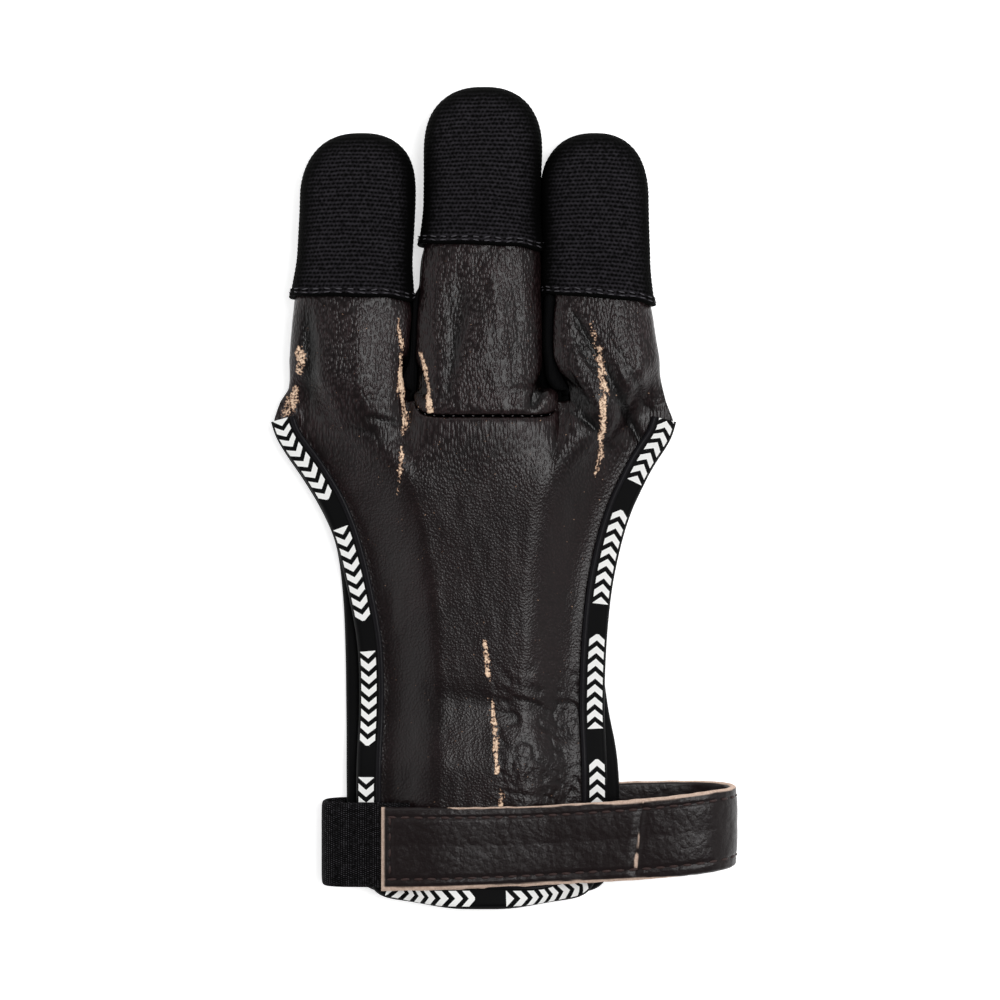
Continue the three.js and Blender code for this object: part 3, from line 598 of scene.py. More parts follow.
def makePalmLeather():
    look = leatherLook
    stallRows = look["stallRows"]

    def heights(name, t):
        finger = fingers[name]
        top = np.linspace(finger["hem"] + stallInCap, glove["crotchY"], stallRows + 1)[:, None] + 0 * t
        if name == "middle":
            top = seamY(t) + 0 * top
        seam = seamY(t) if name == "middle" else seamY(0) + 0 * t
        across = mix(*blockShares[name], t)
        down = (np.arange(1, look["palmRows"] + 1) / look["palmRows"])[:, None]
        return np.concatenate([top, seam[None, :], mix(seam, wristY(frontPanel, across), down)])

    place, normal, shares = blockLattice(frontPoint, look["columns"], heights, 1)
    x, y = place[..., 0], place[..., 1]
    relief = leatherRelief(x, y)
    left, middle, right = (count + 1 for count in look["columns"].values())
    names = np.repeat(["left", "middle", "right"], (left, middle, right))
    share = np.concatenate(shares, axis=1)
    width = np.array([fingers[name]["width"] for name in names]) * look["stallWrap"]
    fromSide = np.minimum(share, 1 - share) * width
    fromSeam = np.where(names == "middle", seamY(share) - y, farAway)
    sideRoll = np.exp(-fromSide / look["edgeRollWidth"])
    sideRoll = sideRoll * smoothStep(y, *look["edgeRollY"]) * (names != "middle")
    seamRoll = np.exp(-np.maximum(fromSeam, 0) / look["edgeRollWidth"])
    relief = relief - look["edgeRoll"] * (sideRoll + seamRoll)
    hem = np.array([fingers[name]["hem"] for name in names])
    relief = relief * (1 - smoothStep(y, hem - look["flatBelowHem"], hem + look["flatAboveHem"]))
    cells = np.ones((place.shape[0] - 1, place.shape[1] - 1), bool)
    cells[:stallRows + 1, left - 1:left + middle] = False
    points = shellPoints(place, normal, relief, look["wall"])
    rubbed = np.tile(scuffAt(x, y, scuffs).ravel(), 2)
    paintedCreaseShade = np.tile(paintedCreaseShadeAt(x, y).ravel(), 2)
    drawn = np.tile(smoothStep(y, *look["drawnY"]).ravel(), 2)
    attributes = {"scuff": rubbed, "paintedCreaseShade": paintedCreaseShade, "drawn": drawn}
    return addMesh("palmLeather", points, [sheetFaces(cells)], attributes)


def makeMiddleLeather():
    look = leatherLook
    rows = look["middleRows"]
    t = np.linspace(0, 1, look["middleColumns"] + 1)
    hem = fingers["middle"]["hem"]
    top = hem + stallInCap
    bottom = seamY(t) + glove["seamRoom"]
    y = mix(top, bottom, (np.arange(rows + 1) / rows)[:, None])
    t = np.broadcast_to(t, y.shape)
    place, normal = surface(frontPoint, "middle", t, y, 1)
    x = place[..., 0]
    fromSide = np.minimum(t, 1 - t) * fingers["middle"]["width"] * look["stallWrap"]
    fromSeam = y - bottom
    roll = np.exp(-fromSide / look["edgeRollWidth"]) + np.exp(-fromSeam / look["edgeRollWidth"])
    relief = leatherRelief(x, y) - look["edgeRoll"] * roll
    relief = relief * (1 - smoothStep(y, hem - look["flatBelowHem"], hem + look["flatAboveHem"]))
    cells = np.ones((place.shape[0] - 1, place.shape[1] - 1), bool)
    points = shellPoints(place, normal, relief, look["wall"])
    rubbed = np.tile(scuffAt(x, y, scuffs).ravel(), 2)
    paintedCreaseShade = np.tile(paintedCreaseShadeAt(x, y).ravel(), 2)
    attributes = {"scuff": rubbed, "paintedCreaseShade": paintedCreaseShade, "drawn": np.ones(len(paintedCreaseShade))}
    return addMesh("middleStallLeather", points, [sheetFaces(cells)], attributes)


# Stretch fabric: the back of the hand with the backs of the stalls, in a fine black knit
stretchLook = {
    "columns": {"left": 34, "middle": 36, "right": 34},
    "stallRows": 44,
    "backRows": 110,
    "rowSpacing": 1.15,
    "wall": glove["stretchWall"],
    "slack": (0.18, (11, 15), 23),
    "bulge": 1.1,
    "bulgeFrom": (7.4, 8.6),
    "bulgeTo": 36,
    "middleBulgeTo": 48,
    "bulgeFade": 4,
    "bulgeSide": (0.02, 0.3),
    "webSwell": 1.4,
    "webY": 10.5,
    "webReach": 3.5,
    "hemSwell": 0.4,
}


def makeStretchBack():
    look = stretchLook
    stallRows = look["stallRows"]

    def heights(name, t):
        finger = fingers[name]
        top = np.linspace(finger["hem"] + stallInCap, glove["crotchY"], stallRows + 1)[:, None] + 0 * t
        across = mix(*blockShares[name], t)
        down = (np.arange(1, look["backRows"] + 1) / look["backRows"])[:, None] ** look["rowSpacing"]
        return np.concatenate([top, mix(glove["crotchY"], wristY(backPanel, across), down)])

    place, normal, shares = blockLattice(backPoint, look["columns"], heights, -1)
    x, y = place[..., 0], place[..., 1]
    slack, size, seed = look["slack"]
    relief = slack * grainNoise(x, y, size, seed) - slack
    names = np.repeat(list(look["columns"]), [count + 1 for count in look["columns"].values()])
    share = np.concatenate(shares, axis=1)
    toRight = np.where(names == "right", 1, 1 - share)
    toLeft = np.where(names == "left", 1, share)
    # The fabric bulges out between the stalls, most at the webs and up to the lower hem beside it
    middleRight = (toRight < toLeft) & (names == "middle")
    bulgeTo = np.where(middleRight, look["middleBulgeTo"], look["bulgeTo"])
    fade = look["bulgeFade"]
    height = smoothStep(y, *look["bulgeFrom"]) * (1 - smoothStep(y, bulgeTo - fade, bulgeTo))
    swell = 1 + look["webSwell"] * np.exp(-((y - look["webY"]) / look["webReach"]) ** 2)
    swell = swell + look["hemSwell"] * smoothStep(y, bulgeTo - 2 * fade, bulgeTo - fade)
    beside = 1 - smoothStep(np.minimum(toLeft, toRight), *look["bulgeSide"])
    relief = relief + look["bulge"] * swell * height * beside
    gaps = [look["columns"]["left"], look["columns"]["left"] + 1 + look["columns"]["middle"]]
    cells = np.ones((place.shape[0] - 1, place.shape[1] - 1), bool)
    cells[:stallRows, gaps] = False
    points = shellPoints(place, normal, relief, look["wall"])
    return addMesh("stretchBack", points, [sheetFaces(cells, flip=True)])


# Woven fingertip caps with a rolled hem
capLook = {
    "wall": capWall,
    "domeLength": 17.5,
    "domeSquareness": 2.4,
    "hemLength": 2.4,
    "rollLength": 0.6,
    "rollRise": 0.05,
    "rollSink": 0.25,
    "hemWave": (0.42, (5, 4), 71),
    "hemWaveFades": (1, 5),
    "stitchRows": [1.95, 1.05],
    "stitchRise": 0.12,
    "stitchSide": 0.25,
    "hemRise": hemRise,
    "threadAcross": 1.2,
    "threadAlong": 1.12,
    "threadRelief": 0.24,
    "threadMiddle": 0.75,
    "holeAcross": 0.27,
    "holeAlong": 0.25,
    "threadLevel": 0.82,
    "threadRound": 0.18,
    "drift": [(0.3, (9, 12), 61), (0.16, (2.1, 2.7), 63)],
    "sag": [(0.3, (14, 20), 65), (0.14, (2.6, 2.2), 67)],
    "slack": (0.16, (8, 9), 29),
    "calmTip": (0.12, 0.35),
    "shadedSide": (0.3, 0.92),
    "pressed": 1.0,
    "pressedFrom": (-1, 6),
    "step": 0.235,
    "rowStep": 1.06,
    "skinBeyondStall": 1.3,
    "underStep": 0.55,
    "fineOverSides": 2,
    "angleSteps": 3001,
    "domeSteps": 800,
    "bodySteps": 200,
    "innerEvery": 60,
    "innerRows": 8,
}


def netWeave(across, along):
    # Height of the cloth: round holes in staggered rows, with a thread that runs along between the rows
    look = capLook
    row = np.floor(along)
    fromRow = along - row - 0.5
    fromHole = (across + 0.5 * (row % 2)) % 1 - 0.5
    hole = np.exp(-(fromHole / look["holeAcross"]) ** 2 - (fromRow / look["holeAlong"]) ** 2)
    thread = look["threadLevel"] - look["threadRound"] * np.cos(2 * np.pi * fromRow)
    return thread * (1 - hole)


def evenSteps(points, step):
    # Places along a polyline at even steps of its length, as shares of its index
    length = np.concatenate([[0], np.cumsum(np.linalg.norm(np.diff(points, axis=0), axis=1))])
    count = max(int(round(length[-1] / step)), 2)
    return np.interp(np.linspace(0, length[-1], count + 1), length, np.arange(len(points)))


def closedSkin(rings, columns, first, outward):
    # Faces between rings of points, closed round, with a pole after the last ring
    number = first + np.arange(rings * columns).reshape(rings, columns)
    beside = np.roll(number, -1, axis=1)
    quads = np.stack([number[:-1], beside[:-1], beside[1:], number[1:]], axis=-1).reshape(-1, 4)
    pole = np.full(columns, first + rings * columns)
    fan = np.stack([number[-1], beside[-1], pole], axis=1)
    return (quads, fan) if outward else (quads[:, ::-1], fan[:, ::-1])


def capRing(name, y, factor, extra, angles):
    # Points of the cap's section at one or many heights
    finger = fingers[name]
    half = stallHalf(name, y)
    grow = glove["clearance"] + extra
    across, up = sectionPoint(angles, (half + grow) * factor, (glove["stallHeight"] / 2 + grow) * factor)
    body = finger["tip"] - capLook["domeLength"]
    tilt = finger["hemTilt"] * np.clip((body - y) / (body - finger["hem"]), 0, 1)
    middle = stallMiddle(name, y)
    if name == "right":
        # This cap is pressed against the middle one
        low, high = (finger["hem"] + rise for rise in capLook["pressedFrom"])
        middle = middle - capLook["pressed"] * smoothStep(y, low, high) * np.clip(-across / half, 0, 1) ** 2
    amount, size, seed = capLook["hemWave"]
    low, high = (finger["hem"] + rise for rise in capLook["hemWaveFades"])
    wave = amount * grainNoise(across, up, size, seed) * (1 - smoothStep(y, low, high))
    return np.stack([middle + across, y + wave + tilt * across / half, stallMiddleZ + up], axis=-1)


def makeCap(name):
    look, finger = capLook, fingers[name]
    body = finger["tip"] - look["domeLength"]
    power = 2 / look["domeSquareness"]

    # Angles round the section, closer together on the side that faces up
    fine = np.linspace(math.pi / 2 + math.pi, math.pi / 2 - math.pi, look["angleSteps"])
    order = np.arange(look["angleSteps"])
    beyond = look["skinBeyondStall"]
    sideX, sideZ = sectionPoint(fine, finger["width"] / 2 + beyond, glove["stallHeight"] / 2 + beyond)
    arc = np.concatenate([[0], np.cumsum(np.hypot(np.diff(sideX), np.diff(sideZ)))])
    arc -= arc[-1] / 2
    faceUp = np.abs(arc) < arc[-1] / 2 + look["fineOverSides"]
    spread = np.where(faceUp, 1, look["underStep"])
    steps = np.concatenate([[0], np.cumsum(np.diff(arc) * spread[1:])])
    columns = int(steps[-1] / look["step"])
    at = np.interp(np.arange(columns) / columns * steps[-1], steps, order)
    angles = np.interp(at, order, fine)
    around = np.interp(at, order, arc)

    # Rows up the body and over the dome at even steps
    dome = np.linspace(0, math.pi / 2, look["domeSteps"])[:-1]
    domeY = body + look["domeLength"] * np.sin(dome) ** power
    domeFactor = np.cos(dome) ** power
    bodyY = np.linspace(finger["hem"], body, look["bodySteps"])
    line = np.concatenate([
        np.stack([bodyY, np.full(len(bodyY), finger["width"] / 2)], axis=1),
        np.stack([domeY[1:], domeFactor[1:] * finger["width"] / 2], axis=1),
    ])
    at = evenSteps(line, look["step"] * look["rowStep"])
    y = np.interp(at, np.arange(len(line)), line[:, 0])[:, None]
    factor = np.interp(at, np.arange(len(line)), line[:, 1])[:, None] / (finger["width"] / 2)

    # Relief: the rolled hem, then the weave with its threads drifting and the cloth lying slack
    up = y - finger["hem"]
    roll = np.sqrt(np.clip(1 - (2 * up / look["rollLength"] - 1) ** 2, 0, 1)) * (up < look["rollLength"])
    hem = (up < look["hemLength"]) * 1.0
    bodyShare = smoothStep(up, look["rollLength"] - 0.1, look["rollLength"] + 0.3)
    u = around[None, :] * factor
    drift = sum(amount * grainNoise(u, y, size, seed) for amount, size, seed in look["drift"])
    sag = sum(amount * grainNoise(u, y, size, seed) for amount, size, seed in look["sag"])
    weave = netWeave(u / look["threadAcross"] + drift, up / look["threadAlong"] + sag)
    calm = smoothStep(factor, *look["calmTip"]) * bodyShare
    amount, size, seed = look["slack"]
    slack = amount * grainNoise(u, y, size, seed + len(name))
    relief = look["threadRelief"] * (weave - look["threadMiddle"]) * calm + slack * bodyShare
    relief = relief + look["rollRise"] * roll - look["rollSink"] * (1 - roll) * (up < look["rollLength"])
    relief = relief + look["hemRise"] * hem * smoothStep(look["hemLength"] - up, 0, 0.4)
    outer = capRing(name, y, factor, look["wall"] + relief, angles[None, :])
    rings = outer.shape[0]

    # The plain lining, with fewer rows, and the rim that closes the two at the hem
    inDome = slice(look["innerEvery"], None, look["innerEvery"])
    liningY = domeY[inDome] - look["wall"] * np.sin(dome[inDome])
    innerY = np.concatenate([np.linspace(finger["hem"], body, look["innerRows"]), liningY])[:, None]
    innerFactor = np.concatenate([np.ones(look["innerRows"]), domeFactor[inDome]])[:, None]
    inner = capRing(name, innerY, innerFactor, 0, angles[None, :])
    tip = np.array([finger["tipX"], finger["tip"], stallMiddleZ])
    points = np.concatenate([
        outer.reshape(-1, 3), [tip], inner.reshape(-1, 3), [tip - [0, look["wall"], 0]],
    ])
    innerFirst = rings * columns + 1
    outerQuads, outerFan = closedSkin(rings, columns, 0, True)
    innerQuads, innerFan = closedSkin(len(innerY), columns, innerFirst, False)
    edge = np.arange(columns)
    beside = np.roll(edge, -1)
    rim = np.stack([edge, edge + innerFirst, beside + innerFirst, beside], axis=1)
    # Painted highlight and shade: the threads' tops are coloured lighter only above the rolled hem, and the
    # colour fades to black towards the sides and the tip, which face away from the light
    halfHeight = glove["stallHeight"] / 2 + glove["clearance"] + look["wall"]
    level = np.clip((outer[..., 2] - stallMiddleZ) / halfHeight, 0, 1)
    paintedSideShade = smoothStep(level, *look["shadedSide"])
    weaveHighlightAndShade = np.zeros(len(points))
    weaveHighlightAndShade[:rings * columns] = (weave * bodyShare * paintedSideShade).ravel()
    faces = [np.concatenate([outerQuads, innerQuads, rim]), np.concatenate([outerFan, innerFan])]
    return addMesh("cap" + name.capitalize(), points, faces, {"weave": weaveHighlightAndShade})


def capHemLine(name, fromHem):
    # Line of the hem's stitches, round the side of the cap that faces up
    look = capLook
    angles = np.linspace(math.pi - look["stitchSide"], look["stitchSide"], 160)
    y = np.full(len(angles), fingers[name]["hem"] + fromHem)
    return capRing(name, y, 1, look["wall"] + look["hemRise"] + look["stitchRise"], angles)


def sweep(name, path, sideways, upward, top, bottom, attributes=None, bend=None):
    # Closed solid from a section carried along a path. The section has as many points on its top as on its
    # bottom, each given as a distance sideways and a distance up
    section = np.concatenate([top, bottom[::-1]])
    if bend is None:
        offsets = np.broadcast_to(section, (len(path),) + section.shape)
    else:
        offsets = bend(section)
    rings = path[:, None] + sideways[:, None] * offsets[..., :1] + upward[:, None] * offsets[..., 1:]
    count, sides = rings.shape[:2]
    number = np.arange(count * sides).reshape(count, sides)
    beside = np.roll(number, -1, axis=1)
    quads = np.stack([number[:-1], beside[:-1], beside[1:], number[1:]], axis=-1).reshape(-1, 4)
    pair = np.arange(sides // 2 - 1)
    other = sides - 1 - pair
    start = np.stack([pair, other, other - 1, pair + 1], axis=1)
    end = (start + (count - 1) * sides)[:, ::-1]
    faces = np.concatenate([quads, start, end])
    points = rings.reshape(-1, 3)
    corner = points[faces]
    volume = np.einsum("ij,ij->i", corner[:, 0], np.cross(corner[:, 1], corner[:, 2])).sum()
    volume += np.einsum("ij,ij->i", corner[:, 0], np.cross(corner[:, 2], corner[:, 3])).sum()
    if volume < 0:
        faces = faces[:, ::-1]
    return addMesh(name, points, [faces], attributes)


# Edge binding: a folded tape with a raised, glossy selvedge along its inner side
bindingLook = {
    "width": bindingWidth,
    "tapeWall": glove["tapeWall"],
    "ridgeWidth": 1.4,
    "ridgeRise": 0.45,
    "step": 0.7,
    "samples": 200,
    "cornerRound": 2.2,
    "inwardShare": 0.06,
    "inwardStep": 3,
    "ridgeRound": 0.8,
    "foldReach": 0.8,
    "faceFrom": -0.4,
}


def panelAt(pointAt, share, y):
    # A point of a panel by its share of the whole width
    point = np.zeros(share.shape + (3,))
    for name, (low, high) in blockShares.items():
        here = (share >= low - webHalf * 2) & (share <= high + webHalf * 2)
        t = np.clip((share - low) / (high - low), 0, 1)
        point[here] = pointAt(name, t, y)[here]
    return point


def softened(values, width):
    # Gaussian smoothing along a path, with its ends kept in place
    reach = int(width * 3)
    kernel = np.exp(-0.5 * (np.arange(-reach, reach + 1) / width) ** 2)
    kernel /= kernel.sum()
    ends = (2 * values[:1] - values[reach:0:-1], values, 2 * values[-1:] - values[-2:-reach - 2:-1])
    longer = np.concatenate(ends)
    return np.stack([np.convolve(column, kernel, "valid") for column in longer.T], axis=1)


def unit(vectors):
    return vectors / np.linalg.norm(vectors, axis=-1, keepdims=True)


def bindingSection(wall):
    # The tape's section: a raised selvedge, the flat face, the fold and the underside, and the slot inside
    look = bindingLook
    half = wall / 2 + glove["slotGap"] + look["tapeWall"]
    outside = glove["clearance"] + look["tapeWall"]
    deep = outside - look["width"]
    foldWidth = half * look["foldReach"]
    foldFrom = outside - foldWidth
    ridge = np.linspace(0, math.pi, 8)
    ridgeX = deep + look["ridgeWidth"] * (1 - np.cos(ridge)) / 2
    ridgeZ = half + look["ridgeRise"] * np.sin(ridge) ** look["ridgeRound"]
    flatX = np.linspace(deep + look["ridgeWidth"], foldFrom, 9)[1:-1]
    fold = np.linspace(math.pi / 2, -math.pi / 2, 13)
    foldX = foldFrom + foldWidth * np.cos(fold)
    foldZ = half * np.sin(fold)
    underX = np.linspace(foldFrom, deep, 8)[1:]
    outer = np.concatenate([
        np.stack([ridgeX, ridgeZ], axis=1),
        np.stack([flatX, np.full(len(flatX), half)], axis=1),
        np.stack([foldX, foldZ], axis=1),
        np.stack([underX, np.full(len(underX), -half)], axis=1),
    ])
    inner = np.stack([
        np.minimum(outer[:, 0], glove["clearance"]),
        np.clip(outer[:, 1], look["tapeWall"] - half, half - look["tapeWall"]),
    ], axis=1)
    return outer, inner


def makeBinding(name, panel, pointAt):
    # Down the panel's left side, round the wrist and up its right side
    look = bindingLook
    down = np.linspace(0, 1, look["samples"])
    share = np.concatenate([0 * down[:-1], down, 1 + 0 * down[1:]])
    fall = np.concatenate([down[:-1], 1 + 0 * down, down[::-1][1:]])
    y = mix(panel["bindingStart"], wristY(panel, share), fall)
    edge = panelAt(pointAt, share, y)
    inwardY = y + look["inwardStep"] * np.sin(np.pi * share) ** 0.5
    towards = panelAt(pointAt, mix(share, 0.5, look["inwardShare"]), inwardY)
    at = evenSteps(edge, look["step"])
    column = np.arange(len(edge))
    pick = lambda values: np.stack([np.interp(at, column, values[:, i]) for i in range(3)], axis=1)
    smooth = look["cornerRound"] / look["step"]
    inward = unit(softened(unit(pick(towards - edge)), smooth))
    path = softened(pick(edge), smooth)
    along = unit(np.gradient(path, axis=0))
    upward = unit(np.cross(along, inward))
    upward *= np.sign(upward[:, 2:])
    outwards = unit(np.cross(along, upward))
    outwards *= -np.sign(np.einsum("ij,ij->i", outwards, inward))[:, None]
    path = path - upward * panel["side"] * panel["wall"] / 2
    outer, inner = bindingSection(panel["wall"])
    length = np.concatenate([[0], np.cumsum(np.linalg.norm(np.diff(path, axis=0), axis=1))])
    section = np.concatenate([outer, inner[::-1]])
    tape = glove["clearance"] + look["tapeWall"] - section[:, 0]
    tape = np.where(np.arange(len(section)) < len(outer), tape, farAway)
    tape = np.where(section[:, 1] > look["faceFrom"], tape, farAway)
    attributes = {
        "along": np.repeat(length, len(section)),
        "across": np.tile(tape, len(path)),
    }
    return sweep(name, path, outwards, upward, outer, inner, attributes=attributes)


# Wrist strap: thick leather with raw cut edges, sewn to an elastic on its left
strapLook = {
    "width": 20,
    "wall": 1.8,
    "reach": 70.2,
    "endX": -24.5,
    "leftX": -24.4,
    "loopHeight": 19.5,
    "y": 17.2 - glove["palmLength"],
    "hiddenShift": 0.27,
    "underFrom": 0.78,
    "underTo": 0.1,
    "underDrift": 0.05,
    "tailShift": 0.15,
    "patchLength": 30,
    "rawEdge": 0.8,
    "rawDrop": (0.85, 2.2),
    "underEdge": 0.9,
    "grooveDepth": 0.3,
    "grooveWidth": 0.5,
    "stitchFromEdge": 2.6,
    "stitchedTo": 150,
    "waves": [(0.16, (9, 12), 31), (0.05, (2.2, 3.1), 33)],
    "padding": (0.25, 4, 6),
    "faceFromSide": (0.6, 2),
    "faceFromEnd": (0.4, 2),
    "endRound": 2.4,
    "endThinnest": 0.02,
    "creaseAt": 68.3,
    "creaseLean": 0.12,
    "creaseDepth": 0.5,
    "creaseWidth": 1.1,
    "wornWidth": 0.55,
    "wornPatches": (0.55, (1.2, 1.6), 43),
    "raggedSides": (0.16, (2.1, 9), 37),
    "raggedCut": (0.2, (2.6, 30), 39),
    "raggedMost": 0.6,
    "cutFade": (1.12, 0.85),
    "endCutFade": (0.8, 1.1),
    "threadSunk": 0.35,
    "faceColumns": 61,
    "step": 0.6,
    "curveSteps": 14,
}
strapSides = {
    # Along the strap: how far its lower side spreads, and how wide the pale cut shows on each side
    "along": [0, 17, 20, 42, 56, 62, 70, 76, 80, 90, 100, 112, 300],
    "spread": [2.3, 1.8, 1.7, 1.1, 1.1, 1.2, 1.3, 1.4, 1.5, 1.5, 1.2, 0, 0],
    "upperCut": [0, 0, 0.35, 0.35, 0.4, 0.8, 0.8, 0.8, 0.7, 0.6, 0.45, 0.3, 0.3],
    "lowerCut": [0.9, 0.9, 0.9, 0.8, 0.75, 0.6, 0.6, 0.3, 0, 0, 0, 0, 0],
}
strapRun = {
    "along": [-0.34758, -0.15, 0.2, 0.42, 0.65, 0.82, 0.915, 0.972, 0.987, 0.965, 0.905, 0.84],
    "height": [0.69, 0.76, 0.765, 0.82, 0.905, 0.95, 0.87, 0.7, 0.48, 0.25, 0.11, 0.052],
    "shift": [0, 0, 0.02, 0.07, 0.14, 0.21, 0.25, 0.265, 0.27, 0.27, 0.27, 0.27],
}
elasticLook = {
    "width": 22.6,
    "wall": 1.4,
    "reach": -40.8,
    "endX": -17,
    "rise": 0.7,
    "riseHalfWay": 0.4,
    "drop": 0.4,
    "tuck": 3,
    "underFrom": 0.88,
    "along": [0.9, 0.975, 0.983, 0.96],
    "height": [0.92, 0.76, 0.5, 0.24],
    "ribPitch": 0.56,
    "ribDepth": 0.12,
    "edgeSquareness": 14,
    "ribFade": 8,
    "columns": 121,
    "step": 0.3,
}
bandSoftness = 1.2


def smoothCurve(points, perSegment):
    # Centripetal curve through the points
    points = np.array(points, float)
    ends = np.concatenate([[2 * points[0] - points[1]], points, [2 * points[-1] - points[-2]]])
    t = np.linspace(0, 1, perSegment, endpoint=False)[:, None]
    parts = []
    for p0, p1, p2, p3 in zip(ends, ends[1:], ends[2:], ends[3:]):
        d0, d1, d2 = (np.linalg.norm(b - a) ** 0.5 for a, b in ((p0, p1), (p1, p2), (p2, p3)))
        start = ((p1 - p0) / d0 - (p2 - p0) / (d0 + d1) + (p2 - p1) / d1) * d1
        end = ((p2 - p1) / d1 - (p3 - p1) / (d1 + d2) + (p3 - p2) / d2) * d1
        curve = p1 + start * t + (3 * (p2 - p1) - 2 * start - end) * t ** 2
        parts.append(curve + (2 * (p1 - p2) + start + end) * t ** 3)
    return np.concatenate(parts + [points[-1:]])


def bandFrame(points, step):
    # Even path along a band with the directions across it and up out of it
    at = evenSteps(points, step)
    column = np.arange(len(points))
    path = np.stack([np.interp(at, column, points[:, i]) for i in range(3)], axis=1)
    path = softened(path, bandSoftness / step)
    along = unit(np.gradient(path, axis=0) * [1, 0, 1])
    upward = np.stack([-along[:, 2], 0 * along[:, 0], along[:, 0]], axis=1)
    sideways = np.tile([0.0, 1.0, 0.0], (len(path), 1))
    length = np.concatenate([[0], np.cumsum(np.linalg.norm(np.diff(path, axis=0), axis=1))])
    return path, sideways, upward, length


def strapPath():
    # Over the wrist from the left, round the loop on the right and back underneath
    look = strapLook
    x = np.array(strapRun["along"]) * look["reach"]
    y = look["y"] + np.array(strapRun["shift"]) * look["width"]
    z = np.array(strapRun["height"]) * look["loopHeight"]
    backY = look["y"] + look["hiddenShift"] * look["width"]
    tailY = look["y"] + look["tailShift"] * look["width"]
    under = look["wall"] / 2
    below = [(look["reach"] * look["underFrom"], backY, under)]
    points = np.concatenate([np.stack([x, y, z], axis=1), below])
    tail = [
        (look["reach"] * look["underTo"], backY - look["underDrift"] * look["width"], under),
        (look["endX"] + look["patchLength"] / 2, tailY, under),
    ]
    return np.concatenate([smoothCurve(points, look["curveSteps"]), tail])


def strapWidening(along):
    # The strap's lower side spreads at its left end and where it lifts towards the loop
    return np.interp(along, strapSides["along"], strapSides["spread"])


def makeStrap():
    look = strapLook
    path, sideways, upward, length = bandFrame(strapPath(), look["step"])
    half, wall, raw = look["width"] / 2, look["wall"] / 2, look["rawEdge"]
    rounding = np.linspace(0, math.pi / 2, 7)[1:]
    flat = np.linspace(-(half - raw), half - raw, look["faceColumns"])
    rim = half - raw * (1 - np.sin(rounding))
    drop, power = look["rawDrop"]
    rimZ = wall - drop * wall * ((rim - (half - raw)) / raw) ** power
    x = np.concatenate([-rim[::-1], flat, rim])
    z = np.concatenate([rimZ[::-1], np.full(len(flat), wall), rimZ])
    top = np.stack([x, z], axis=1)
    bottom = np.stack([x, -z * np.where(np.abs(x) > half - raw, look["underEdge"], 1)], axis=1)
    groove = look["stitchFromEdge"]
    fromEnd = np.minimum(length, length[-1] - length)[:, None]
    along = length[:, None]

    def fromCrease(across):
        return along - look["creaseAt"] - look["creaseLean"] * across

    def bend(section):
        across, up = section[None, :, 0], section[None, :, 1]
        faceUp = np.arange(section.shape[0])[None, :] < len(x)
        inGroove = np.exp(-((np.abs(across) - (half - groove)) / look["grooveWidth"]) ** 2)
        endGroove = np.exp(-((along - groove) / look["grooveWidth"]) ** 2) * (np.abs(across) < half - groove)
        inGroove = inGroove + endGroove
        wave = sum(amount * grainNoise(along, across, size, seed) for amount, size, seed in look["waves"])
        height, middle, reach = look["padding"]
        padded = height * (1 - ((np.abs(across) - middle) / reach) ** 2)
        crease = look["creaseDepth"] * np.exp(-(fromCrease(across) / look["creaseWidth"]) ** 2)
        face = (wave + padded - crease) * smoothStep(half - np.abs(across), *look["faceFromSide"])
        face = face * smoothStep(fromEnd, *look["faceFromEnd"])
        lifted = up + np.where(faceUp, face - look["grooveDepth"] * inGroove, 0)
        ending = 1 - (1 - np.minimum(fromEnd / raw, 1)) ** look["endRound"]
        ending = np.sqrt(np.clip(ending, look["endThinnest"], 1))
        amount, size, seed = look["raggedSides"]
        ragged = amount * grainNoise(along, np.sign(across) * 40, size, seed)
        ragged = ragged * smoothStep(np.abs(across), half - raw, half)
        spread = strapWidening(along) * np.clip(-across / half, 0, 1)
        return np.stack([across + ragged * np.sign(across) - spread, lifted * ending], axis=-1)

    # Where the pale cut shows along the edges and the end, and where the crease is worn through
    across = np.concatenate([top, bottom[::-1]])[None, :, 0]
    amount, size, seed = look["raggedCut"]
    ragged = amount * grainNoise(along, across, size, seed)
    cuts = (np.interp(along, strapSides["along"], strapSides[key]) for key in ("upperCut", "lowerCut"))
    cut = np.where(across > 0, *cuts)
    fromMiddle = np.abs(across) + ragged * np.minimum(cut, look["raggedMost"])
    edge = smoothStep(fromMiddle, *(half - cut * fade for fade in look["cutFade"])) * (cut > 0.05)
    edge = np.maximum(edge, 1 - smoothStep(fromEnd + ragged, *(raw * fade for fade in look["endCutFade"])))
    creased = np.exp(-(fromCrease(across) / look["wornWidth"]) ** 2)
    amount, size, seed = look["wornPatches"]
    creased = creased * (amount + grainNoise(along, across, size, seed))
    attributes = {"rawEdge": edge, "scuff": np.clip(creased, 0, 1)}
    return sweep("wristStrap", path, sideways, upward, top, bottom, attributes=attributes, bend=bend)


def strapStitchLines():
    # Three sewn lines on the strap's upper face: along both edges and across its left end
    look = strapLook
    path, sideways, upward, length = bandFrame(strapPath(), look["step"])
    inset = look["width"] / 2 - look["stitchFromEdge"]
    rise = look["wall"] / 2 - look["grooveDepth"] * look["threadSunk"]
    shown = (length > look["stitchFromEdge"]) & (length < look["stitchedTo"])
    spread = strapWidening(length)[:, None] * inset / (look["width"] / 2)
    edges = (sideways * inset, -sideways * (inset + spread))
    lines = [(path + edge + upward * rise)[shown] for edge in edges]
    near = int(round(look["stitchFromEdge"] / look["step"]))
    acrossEnd = np.linspace(-inset + 1, inset - 1, 24)[:, None] * [0, 1, 0]
    lines.append(path[near] + upward[near] * rise + acrossEnd)
    return lines


